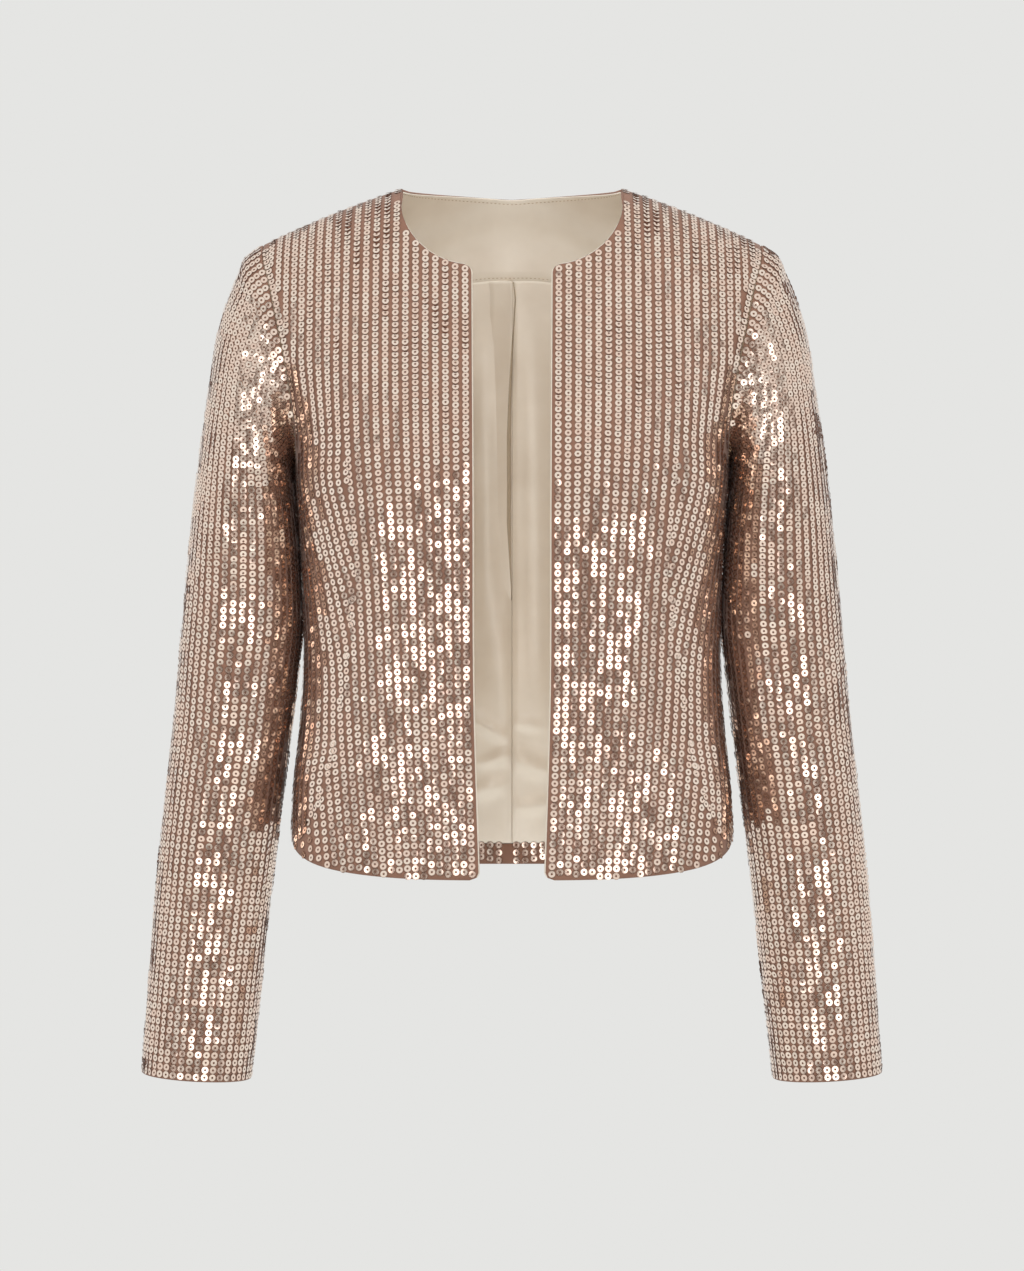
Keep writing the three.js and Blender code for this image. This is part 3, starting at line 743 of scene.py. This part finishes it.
def runs(points, away, keep, number, late=3):
    """The unbroken stretches of a row that are kept, each from a start that chance puts off a little."""
    edges = np.flatnonzero(np.diff(np.concatenate([[0], keep.astype(int), [0]])))
    return [
        (points[a:b], away[a:b], number)
        for a, b in zip(edges[::2] + STARTS.integers(0, late, len(edges) // 2), edges[1::2])
        if b - a > LEAST
    ]


RIDGE_MARGIN = {"front": MARGIN, "back": 1.4 * MARGIN}  # from the shoulder seam
NECK_MARGIN = 1.6 * MARGIN  # from the back neck's edge


def on_panel(angle, z, side):
    """Where a row lies on its panel, away from the panel's edges."""
    x, y, _ = np.moveaxis(body_point(angle, z, side), -1, 0)
    keep = (angle > 0) & (z > hem_height(angle) + HEM_MARGIN)
    keep &= np.abs(y) > np.where(z > UNDERARM_Z, RIDGE_MARGIN[side], MARGIN)
    keep &= (z < UNDERARM_Z) | (x < ARMHOLE.x(z) - SEAM_ROW - SEAM_CLEAR)
    if side == "front":
        keep &= (x > FRONT_EDGE.x(z) + MARGIN)
        keep &= np.hypot(x - NECK_CENTRE_X, z - NECK_CENTRE_Z) > NECK_RADIUS + MARGIN
    else:
        keep &= (x > NECK_X) | (z < BACK_NECK_Z - NECK_MARGIN)
    return keep & (z < shoulder_height(x))


STEADY = SimpleNamespace(most=3, depth=12)  # on the shoulder line
SIDE_TURN = 0.02  # nearer to the side seam than this angle, the cloth faces as it does there


def panel_away(angle, z, side):
    """The way that the cloth faces, longer where its sequins lean less: on the shoulder line."""
    def surface(turn, height):
        return body_point(turn, height, side)

    away = surface_away(surface, np.maximum(angle, SIDE_TURN), z)
    depth = np.abs(surface(angle, z)[..., 1:2])
    steady = 1 + STEADY.most * np.exp(-((depth / STEADY.depth) ** 2)) * (z > UNDERARM_Z)[..., None]
    return (away if side == "front" else -away) * steady


def panel_row(angle, z, side, number, keep=True):
    away = panel_away(angle, z, side)
    return runs(body_point(angle, z, side), away, on_panel(angle, z, side) & keep, number)


ARMHOLE_ROW_ENDS = UNDERARM_Z + 8, TIP_Z - 6


def armhole_row(side):
    """The row that follows the armhole seam, at one distance from it."""
    z = np.arange(*ARMHOLE_ROW_ENDS, STEP)
    angle = angle_at(ARMHOLE.x(z) - SEAM_ROW, z, side)
    points = body_point(angle, z, side)
    return runs(points, panel_away(angle, z, side), np.abs(points[:, 1]) > 2 * MARGIN, -1)


PAST_ARMHOLE = float(ARMHOLE.x(CHEST_Z)) - SEAM_ROW - SEAM_CLEAR  # rows inside this pass the armhole


def shoulder_rows(x, side):
    """Upright rows between the last one that passes the armhole and the tip of the shoulder."""
    rows = []
    for step in range(1, TIP_ROWS + 1):
        at = min(x + step * SHOULDER_SPACING, TIP_X)
        z = heights(float(shoulder_height(at)))
        rows += panel_row(angle_at(np.full_like(z, at), z, side), z, side, TIP_NUMBER + step, z > CHEST_Z)
    return rows


FIRST_BEYOND = int(DART_ROW) + 1  # number of the first row beyond the dart


def front_rows():
    """Rows that follow the front edge, rows beyond the dart that lean into it, and rows that fill in."""
    rows = armhole_row("front")
    for number in range(FIRST_BEYOND):
        z = heights(float(shoulder_height(row_x(number, NECK_Z))))
        rows += panel_row(angle_at(row_x(number, z), z, "front"), z, "front", number)
    bust, chest = np.array([float(BUST_Z)]), np.array([float(CHEST_Z)])
    whole = walk(dart_x(bust), bust, "front")[1][0, -1]
    last = float(row_x(FIRST_BEYOND - 1, CHEST_Z))
    for number in range(SIDE_ROWS):
        length = SIDE_START + number * SIDE_SPACING
        at_chest = np.array([NOWHERE])
        if length > 0:
            at_chest = angle_beyond(dart_x(chest), np.array([length]), chest, "front")
        x = float(body_point(at_chest, chest, "front")[0, 0])
        passes = at_chest[0] > 0 and x < PAST_ARMHOLE
        last = x if passes else last
        z = heights(float(shoulder_height(x)) if passes else CHEST_Z)
        taken_in = whole - walk(dart_x(z), z, "front")[1][:, -1] + SLANT(z)
        left = length - np.where(z < BUST_Z, taken_in, 0)
        beyond = np.where(left > 0, angle_beyond(dart_x(z), left, z, "front"), NOWHERE)
        upright = angle_at(np.full_like(z, x), z, "front")
        angle = np.where(z <= CHEST_Z, beyond, upright)
        rows += panel_row(angle, z, "front", FIRST_BEYOND + number)
    rows += shoulder_rows(last, "front")
    for number in range(FIRST_BEYOND, FIRST_BEYOND + SKIRT_ROWS):
        z = heights(0.0)
        x = row_x(number, z)
        free = (z < WAIST_Z) & (x < dart_x(z) + SKIRT_LAP)
        rows += panel_row(angle_at(x, z, "front"), z, "front", number + SIDE_ROWS, free)
    return rows


BACK_ROWS, BACK_ROW_SPACING = 32, 6.8


def back_rows():
    """Rows of one half of the back, even along the cloth below the armholes and upright above them."""
    rows = armhole_row("back")
    chest, last = np.array([float(CHEST_Z)]), 0.0
    for number in range(BACK_ROWS):
        length = (number + 0.5) * BACK_ROW_SPACING
        at_chest = angle_beyond(np.zeros(1), np.array([length]), chest, "back")
        x = float(body_point(at_chest, chest, "back")[0, 0])
        passes = at_chest[0] > 0 and x < PAST_ARMHOLE
        last = x if passes else last
        z = heights(float(shoulder_height(x)) if passes else CHEST_Z)
        even = angle_beyond(np.zeros_like(z), np.full_like(z, length), z, "back")
        upright = angle_at(np.full_like(z, x), z, "back")
        rows += panel_row(np.where(z <= CHEST_Z, even, upright), z, "back", number)
    return rows + shoulder_rows(last, "back")


SLEEVE_ROWS = 22  # on each half of the sleeve, front and back
SLEEVE_SPACING = 6.9  # on the cap, where further rows start from the armhole
CAP_ROWS = 34
SPACING_EASE = 4  # rings round the cap's end over which the spacing changes
ALONG_STEPS, AROUND_STEPS = 420, 181


def sleeve_rows():
    """Rows at even distances from the sleeve's outer line, that end at the armhole or under the arm."""
    rings = np.linspace(0, SLEEVE_RINGS, ALONG_STEPS)
    rows = []
    for half in (1, -1):
        around = np.linspace(0, math.pi, AROUND_STEPS) * half
        lengths = arc_lengths(sleeve_point(rings[:, None], around[None, :]), 1)
        ease = np.clip((rings - CAP_RINGS + SPACING_EASE / 2) / SPACING_EASE, 0, 1)
        spacing = SLEEVE_SPACING + (lengths[:, -1] / SLEEVE_ROWS - SLEEVE_SPACING) * ease
        for number in range(CAP_ROWS):
            want = (number + 0.5) * spacing
            angle = np.array([np.interp(w, length, around) for w, length in zip(want, lengths)])
            points = sleeve_point(rings, angle)
            walked = arc_lengths(points, 0)
            keep = (want < lengths[:, -1] - 1) & (walked > MARGIN) & (walked < walked[-1] - MARGIN)
            rows += runs(points, surface_away(sleeve_point, rings, angle), keep, number * half)
    return rows


def rows_mesh(name, rows, lift, shingle=0.0):
    """The rows as bare lines a little above the cloth, each point with its facing and its row number."""
    counts = [len(points) for points, _, _ in rows]
    away = np.concatenate([away + unit(np.gradient(points, axis=0)) * shingle for points, away, _ in rows])
    points = np.concatenate([points + unit(away) * lift for points, away, _ in rows])
    starts = np.cumsum([0, *counts[:-1]])
    first = np.concatenate([np.arange(a, a + n - 1) for a, n in zip(starts, counts)])
    edges = np.stack([first, first + 1], axis=-1)
    mesh = bpy.data.meshes.new(name)
    mesh.from_pydata((points * MM).tolist(), edges.tolist(), [])
    facing = mesh.attributes.new("facing", "FLOAT_VECTOR", "POINT")
    facing.data.foreach_set("vector", away.ravel())
    order = mesh.attributes.new("row", "FLOAT", "POINT")
    order.data.foreach_set("value", np.repeat([float(number) for *_, number in rows], counts))
    return placed(name, mesh)


def geometry_tree(name, inputs):
    """A tree with named inputs, each with its kind and value, and points at one pitch along its lines."""
    tree = bpy.data.node_groups.new(name, "GeometryNodeTree")
    for label, kind, value in [("Geometry", "NodeSocketGeometry", None), *inputs]:
        socket = tree.interface.new_socket(label, in_out="INPUT", socket_type=kind)
        if value is not None:
            socket.default_value = value
    tree.interface.new_socket("Geometry", in_out="OUTPUT", socket_type="NodeSocketGeometry")
    given = tree.nodes.new("NodeGroupInput").outputs
    lines = add_node(tree, "GeometryNodeMeshToCurve", {"Mesh": given["Geometry"]})
    sewn = add_node(
        tree, "GeometryNodeResampleCurve", {"Curve": lines.outputs["Curve"], "Length": given["Pitch"]},
        mode="LENGTH",
    )
    return tree, given, sewn.outputs["Curve"]


def made_real(tree, instances, material):
    """Ends a tree with its instances made real, smooth and of one material."""
    real = add_node(tree, "GeometryNodeRealizeInstances", {"Geometry": instances})
    smooth = add_node(tree, "GeometryNodeSetShadeSmooth", {"Geometry": real.outputs["Geometry"]})
    coated = add_node(
        tree, "GeometryNodeSetMaterial", {"Geometry": smooth.outputs["Geometry"], "Material": material}
    )
    add_node(tree, "NodeGroupOutput", {"Geometry": coated.outputs["Geometry"]})
    return tree


DISC_CORNERS, DISC_RINGS = 10, 2
CUP_POWER = 4.0  # a disc rises towards its rim with this power of the distance from its middle
WHOLE_TURN = 6.283
ROW_SHIFT = 0.37  # how far, in runs, the runs of one row start past those of the row before
ROW_IDS = 517  # more than the runs of any row
LONG_RUNS = SimpleNamespace(length=1.0, share=0.6, seed=100)
SHORT_RUNS = SimpleNamespace(length=0.43, share=0.5, seed=200)


def sequin_tree():
    """Cupped discs with a hole along lines. Each leans with its run of the row, with the cloth round it and
    a little by itself."""
    tree, given, sewn = geometry_tree("sewn sequins", [
        ("Pitch", "NodeSocketFloat", CLOSE_PITCH * MM),
        ("Radius", "NodeSocketFloat", SEQUIN_RADIUS * MM),
        ("Hole", "NodeSocketFloat", SEQUIN_HOLE * MM),
        ("Rise", "NodeSocketFloat", SEQUIN_RISE * MM),
        ("Lean of a run", "NodeSocketFloat", 0.16),
        ("Lean of one", "NodeSocketFloat", 0.035),
        ("Sway of the cloth", "NodeSocketFloat", 0.20),
        ("Sways per metre", "NodeSocketFloat", 13.0),
        ("Run", "NodeSocketFloat", 0.030),
        ("Seed", "NodeSocketInt", 1),
        ("Material", "NodeSocketMaterial", None),
    ])

    def node(kind, inputs, **settings):
        return add_node(tree, kind, inputs, **settings).outputs

    def maths(operation, *values):
        return node("ShaderNodeMath", dict(enumerate(values)), operation=operation)["Value"]

    def vectors(operation, *values):
        outputs = node("ShaderNodeVectorMath", dict(enumerate(values)), operation=operation)
        return outputs["Value" if operation == "LENGTH" else "Vector"]

    def scaled(vector, scale):
        return node("ShaderNodeVectorMath", {0: vector, "Scale": scale}, operation="SCALE")["Vector"]

    def chance(low, high, **inputs):
        sockets = {"Min": low, "Max": high, "Seed": given["Seed"], **inputs}
        return node("FunctionNodeRandomValue", sockets, data_type="FLOAT_VECTOR")["Value"]

    def stored(geometry, name, value, domain="POINT"):
        sockets = {"Geometry": geometry, "Name": name, "Value": value}
        kept = node("GeometryNodeStoreNamedAttribute", sockets, data_type="FLOAT", domain=domain)
        return kept["Geometry"]

    place = node("GeometryNodeInputPosition", {})["Position"]
    parts = node("ShaderNodeSeparateXYZ", {"Vector": place})
    cone = node("GeometryNodeMeshCone", {
        "Vertices": DISC_CORNERS, "Side Segments": DISC_RINGS,
        "Radius Top": given["Radius"], "Radius Bottom": given["Hole"], "Depth": given["Rise"],
    }, fill_type="NONE")
    facing_up = node("GeometryNodeFlipFaces", {"Mesh": cone["Mesh"]})
    flat = node("ShaderNodeCombineXYZ", {"X": parts["X"], "Y": parts["Y"]})
    out_to_rim = maths("DIVIDE", vectors("LENGTH", flat["Vector"]), given["Radius"])
    cup = node("ShaderNodeCombineXYZ", {
        "X": parts["X"], "Y": parts["Y"],
        "Z": maths("MULTIPLY", maths("POWER", out_to_rim, CUP_POWER), given["Rise"]),
    })
    cupped = node("GeometryNodeSetPosition", {
        "Geometry": stored(facing_up["Mesh"], "out to the rim", out_to_rim), "Position": cup["Vector"],
    })

    facing = node("GeometryNodeInputNamedAttribute", {"Name": "facing"}, data_type="FLOAT_VECTOR")
    row = node("GeometryNodeInputNamedAttribute", {"Name": "row"}, data_type="FLOAT")["Attribute"]
    along = node("GeometryNodeSplineParameter", {})["Length"]

    def leans(runs):
        """One lean for each run of a row, from where along the row it is."""
        place_in_row = maths(
            "ADD",
            maths("DIVIDE", along, maths("MULTIPLY", given["Run"], runs.length)),
            maths("MULTIPLY", row, ROW_SHIFT),
        )
        own_id = maths("ADD", maths("MULTIPLY", row, ROW_IDS), maths("FLOOR", place_in_row))
        seed = maths("ADD", given["Seed"], runs.seed)
        lean = chance((-1, -1, -1), (1, 1, 1), ID=own_id, Seed=seed)
        return scaled(lean, maths("MULTIPLY", given["Lean of a run"], runs.share))

    own = scaled(chance((-1, -1, -1), (1, 1, 1)), given["Lean of one"])
    noise = node("ShaderNodeTexNoise", {"Vector": place, "Scale": given["Sways per metre"], "Detail": 0.0})
    swayed = scaled(vectors("SUBTRACT", noise["Color"], (0.5, 0.5, 0.5)), given["Sway of the cloth"])
    direction = vectors("ADD", facing["Attribute"], vectors("ADD", leans(LONG_RUNS), leans(SHORT_RUNS)))
    direction = vectors("ADD", vectors("ADD", direction, own), swayed)
    turned = node("FunctionNodeEulerToRotation", {"Euler": chance((0, 0, 0), (0, 0, WHOLE_TURN))})
    aimed = node(
        "FunctionNodeAlignRotationToVector", {"Rotation": turned["Rotation"], "Vector": direction}, axis="Z"
    )
    discs = node("GeometryNodeInstanceOnPoints", {
        "Points": sewn, "Instance": cupped["Geometry"], "Rotation": aimed["Rotation"],
    })
    tones = node("FunctionNodeRandomValue", {"Seed": given["Seed"]}, data_type="FLOAT")
    tone = next(socket for socket in tones if socket.enabled)
    return made_real(tree, stored(discs["Instances"], "tone", tone, "INSTANCE"), given["Material"])


def worked_out(lines, tree, values):
    """Runs a tree on an object of lines, and leaves the result as a plain mesh object of the same name."""
    modifier = lines.modifiers.new("rows", "NODES")
    modifier.node_group = tree
    sockets = {
        item.name: item.identifier for item in tree.interface.items_tree if item.in_out == "INPUT"
    }
    for label, value in values.items():
        modifier[sockets[label]] = value
    shown = lines.evaluated_get(bpy.context.evaluated_depsgraph_get())
    mesh = bpy.data.meshes.new_from_object(shown)
    only = [material for material in mesh.materials if material]
    mesh.materials.clear()
    mesh.materials.append(only[0])
    name = lines.name
    bpy.data.objects.remove(lines)
    mesh.name = name
    return placed(name, mesh)


# From this share of a disc's radius out, its colour is painted darker: painted shade and painted
# reflection, not a property of the film.
PAINTED_RIM_SHADE_FROM = 0.84  # share of a disc's radius from which it darkens


def sequin_material():
    """Rose gold film, a little warmer or paler from one sequin to the next, and painted dark towards its
    rim: painted shade for the neighbours' shadows and a painted darker reflection.
    """
    material, shader = finish("rose gold sequin", {"Metallic": 0.96, "Roughness": 0.11})
    tree = material.node_tree
    tone = add_node(tree, "ShaderNodeAttribute", {}, attribute_name="tone")
    film = add_node(tree, "ShaderNodeMix", {
        "A": (0.93, 0.71, 0.59, 1), "B": (1.0, 0.85, 0.73, 1), "Factor": tone.outputs["Fac"],
    }, data_type="RGBA")
    # Towards the rim the film fades to dark brown: painted shade for the overlapping neighbour's shadow and
    # a painted darker rim reflection.
    out_to_rim = add_node(tree, "ShaderNodeAttribute", {}, attribute_name="out to the rim")
    rim = add_node(tree, "ShaderNodeMapRange", {"From Min": PAINTED_RIM_SHADE_FROM, "Value": out_to_rim.outputs["Fac"]})
    rim_with_painted_shade = add_node(tree, "ShaderNodeMix", {
        "A": film.outputs["Result"], "B": (0.24, 0.13, 0.09, 1), "Factor": rim.outputs["Result"],
    }, data_type="RGBA")
    tree.links.new(rim_with_painted_shade.outputs["Result"], shader.inputs["Base Color"])
    return material


SEQUINS = sequin_tree()
ROSE_GOLD = sequin_material()


def sewn_on(name, rows, seed, pitch, lean):
    lines = rows_mesh(name, rows, STAND_OFF, SHINGLE)
    piece = worked_out(lines, SEQUINS, {
        "Pitch": pitch * MM, "Lean of a run": lean, "Seed": seed, "Material": ROSE_GOLD,
    })
    carried(piece, "sequin_cloth")
    return piece


CUT_SPREAD = 22


def cut_at(rows, z):
    """The rows above about a height and the rows below it, each row cut at its own place."""
    above, below = [], []
    for points, away, number in rows:
        cut = z + STARTS.uniform(-CUT_SPREAD, CUT_SPREAD)
        for part, keep in ((above, points[:, 2] > cut), (below, points[:, 2] <= cut - CLOSE_PITCH + STEP)):
            if keep.sum() > LEAST:
                part.append((points[keep], away[keep], number))
    return above, below


def sewn_in_two(name, rows, z, seed, lean):
    above, below = cut_at(rows, z)
    return [
        sewn_on(f"{name}_upper", above, seed, CLOSE_PITCH, lean),
        sewn_on(f"{name}_lower", below, seed + 1, WIDE_PITCH, lean),
    ]


def mirrored_rows(rows):
    return [(*mirrored(points, away), number) for points, away, number in rows]


ELBOW_Z = -270
BODY_LEAN, SLEEVE_LEAN, HEM_LEAN = 0.16, 0.20, 0.08  # how far the runs of a row lean
front_lines, back_lines, sleeve_lines = front_rows(), back_rows(), sleeve_rows()
for part, lines, z, lean, seeds in (
    ("front", front_lines, BUST_Z, BODY_LEAN, (3, 8)),
    ("back", back_lines, BUST_Z, BODY_LEAN, (12, 17)),
    ("sleeve", sleeve_lines, ELBOW_Z, SLEEVE_LEAN, (21, 26)),
):
    for hand, seed, rows in zip(("right", "left"), seeds, (lines, mirrored_rows(lines))):
        sewn_in_two(f"{part}_sequins_{hand}", rows, z, seed, lean)
# The back's rows carry on round the hem's fold and up its inside.
fold_depth = LINED + SATIN_CLOTH
FOLDED_WIDTH, HEM_PITCH = 130, 4.4  # how far from the middle the fold carries sequins, and their pitch
HEM_TURN = 200  # millimetres along the hem that a radian round it counts for
folded = []
for points, away, number in back_lines + mirrored_rows(back_lines):
    low = points[:, 2] < hem_height(math.pi / 2 - np.abs(points[:, 0]) / HEM_TURN) + TURN_UP
    low &= np.abs(points[:, 0]) < FOLDED_WIDTH
    bare = number == 0 and points[0, 0] < 0  # one row has lost its sequins beside the middle
    if not bare:
        folded += runs(points - unit(away) * fold_depth, -unit(away), low, number, 1)
on_turn_up = [sewn_on("hem_sequins", folded, 31, HEM_PITCH, HEM_LEAN)]

# Stitches: short stitches of tan thread hold the neck facing down along its edge and to the lining. Each
# is a flattened bead of thread, with a gap to the next.
STITCH, STITCH_GAP, THREAD, THREAD_LIFT = 1.9, 1.3, 0.5, 0.1


def stitch_tree():
    """Flattened beads of thread along lines."""
    tree, given, sewn = geometry_tree("running stitches", [
        ("Pitch", "NodeSocketFloat", (STITCH + STITCH_GAP) * MM),
        ("Length", "NodeSocketFloat", STITCH * MM),
        ("Thickness", "NodeSocketFloat", THREAD * MM),
        ("Material", "NodeSocketMaterial", None),
    ])
    bead = add_node(tree, "GeometryNodeMeshUVSphere", {"Segments": 6, "Rings": 4, "Radius": 0.5})
    tangent = add_node(tree, "GeometryNodeInputTangent", {})
    aimed = add_node(
        tree, "FunctionNodeAlignRotationToVector", {"Vector": tangent.outputs["Tangent"]}, axis="X"
    )
    size = add_node(tree, "ShaderNodeCombineXYZ", {
        "X": given["Length"], "Y": given["Thickness"], "Z": given["Thickness"],
    })
    stitches = add_node(tree, "GeometryNodeInstanceOnPoints", {
        "Points": sewn, "Instance": bead.outputs["Mesh"],
        "Rotation": aimed.outputs["Rotation"], "Scale": size.outputs["Vector"],
    })
    return made_real(tree, stitches.outputs["Instances"], given["Material"])


def seam_line(row, inset, columns):
    """A line on the inside of the facing, at a distance from one of the back's grid rows."""
    first, last = columns[0] * FINER, columns[1] * FINER + 1
    line, below = back_points[row * FINER, first:last], back_points[row * FINER - 1, first:last]
    away = back_away[row * FINER, first:last]
    return line + unit(below - line) * inset - away * (LINED + SATIN_CLOTH), -away, row


NECK_SPAN = COLUMNS - NECK_COLUMNS, COLUMNS + NECK_COLUMNS
TOP_INSET, LOWER_INSET = 2.4, 1.6  # of the stitches, from the facing's two edges
stitch_lines = [seam_line(ROWS, TOP_INSET, NECK_SPAN), seam_line(FACING_ROW, -LOWER_INSET, NECK_SPAN)]
tan_thread, _ = finish("tan thread", {"Base Color": (0.50, 0.37, 0.24, 1), "Roughness": 0.6})
facing_stitches = worked_out(
    rows_mesh("facing_stitches", stitch_lines, THREAD_LIFT), stitch_tree(), {"Material": tan_thread}
)
carried(facing_stitches, "satin")

# Studio: a pale floor, a plain pale surround and big soft lights, with a camera level with the waist. From
# here on sizes are metres.
BACKGROUND, FLOOR_COLOUR = (0.783, 0.783, 0.768), (0.8, 0.8, 0.785)
FLOOR_RADIUS, FLOOR_Z, FLOOR_CORNERS = 4.0, -1.7, 64
CAMERA_DISTANCE, CAMERA_Z = 2.8, -0.3126
PICTURE_HEIGHT, PIXEL = 1271, 0.00075  # in pixels, and a pixel's size in the plane of the shoulders
SENSOR = 36.0

camera = placed("camera", bpy.data.cameras.new("camera"))
camera.data.sensor_width = SENSOR
camera.data.lens = SENSOR * CAMERA_DISTANCE / (PICTURE_HEIGHT * PIXEL)
camera.location = (0, -CAMERA_DISTANCE, CAMERA_Z)
camera.rotation_euler = (math.pi / 2, 0, 0)
bpy.context.scene.camera = camera
bpy.context.scene.view_settings.view_transform = "Standard"

world = bpy.data.worlds.new("pale surround")
world.use_nodes = True
world.node_tree.nodes["Background"].inputs["Color"].default_value = (*BACKGROUND, 1)
bpy.context.scene.world = world


def plain_material(name, colour):
    return finish(name, {"Base Color": (*colour, 1), "Roughness": 0.9})[0]


def stage_piece(name, corners, faces, colour):
    mesh = bpy.data.meshes.new(name)
    mesh.from_pydata(corners, [], faces)
    mesh.materials.append(plain_material(name, colour))
    piece = placed(name, mesh)
    return piece


turns = np.linspace(0, 2 * math.pi, FLOOR_CORNERS, endpoint=False)
stage_piece(
    "floor", [(FLOOR_RADIUS * math.cos(t), FLOOR_RADIUS * math.sin(t), FLOOR_Z) for t in turns],
    [range(FLOOR_CORNERS)], FLOOR_COLOUR,
)

# Dark upright slats behind the camera, seen only in the sequins, leave some of them dark and draw
# crescents in others.
SCREEN_Y = -3.3
SCREEN_LOW, SCREEN_HIGH, FAR_HALF_HEIGHT = -1.7, 0.72, 2.5
NEAR_SLATS = [(0.42 * i - 2.06, 0.42 * i - 1.78) for i in range(10)]
FAR_SLATS = [(2.4, 2.55), (2.95, 3.15), (3.7, 4.0), (4.9, 5.4)]
slats = [(low, high, SCREEN_LOW, SCREEN_HIGH) for low, high in NEAR_SLATS]
slats += [
    (*sorted((s * low, s * high)), -FAR_HALF_HEIGHT, FAR_HALF_HEIGHT)
    for low, high in FAR_SLATS for s in (-1, 1)
]
screen = stage_piece(
    "dark screen",
    [(x, SCREEN_Y, z) for low, high, base, top in slats
     for x, z in ((low, top), (high, top), (high, base), (low, base))],
    [tuple(range(4 * i, 4 * i + 4)) for i in range(len(slats))], (0.13, 0.072, 0.05),
)
screen.visible_camera = False
screen.visible_diffuse = False
screen.visible_shadow = False

SOFT_LIGHTS = [  # name, azimuth from the front, elevation, distance, width, height, brightness, mirrored
    ("front strip left", -8.5, 0, 3.0, 0.38, 1.6, 1.6, True),
    ("front strip right", 8.5, 0, 3.0, 0.38, 1.6, 1.6, True),
    ("front box left", -30, -1, 3.0, 0.44, 1.5, 1.8, True),
    ("front box right", 30, -1, 3.0, 0.44, 1.5, 1.8, True),
    ("side box left", -100, 20, 2.6, 0.6, 0.7, 5.0, False),
    ("side box right", 100, 20, 2.6, 0.6, 0.7, 5.0, False),
    ("top box", 0, 62, 2.6, 1.3, 0.9, 3.2, False),
    ("gap fill", -3, 30, 3.0, 0.6, 0.8, 15.5, False),
]
AIM = (0, 0, -0.3)
for name, azimuth, elevation, distance, width, height, brightness, mirrored_in_sequins in SOFT_LIGHTS:
    data = bpy.data.lights.new(name, "AREA")
    data.shape = "RECTANGLE"
    data.size, data.size_y = width, height
    data.energy = brightness * math.pi * width * height
    light = placed(name, data)
    a, e = math.radians(azimuth), math.radians(elevation)
    light.location = (
        AIM[0] + distance * math.sin(a) * math.cos(e),
        AIM[1] - distance * math.cos(a) * math.cos(e),
        AIM[2] + distance * math.sin(e),
    )
    light.rotation_euler = (math.pi / 2 - e, 0, a)
    light.visible_camera = False
    light.visible_glossy = mirrored_in_sequins

bpy.context.view_layer.update()
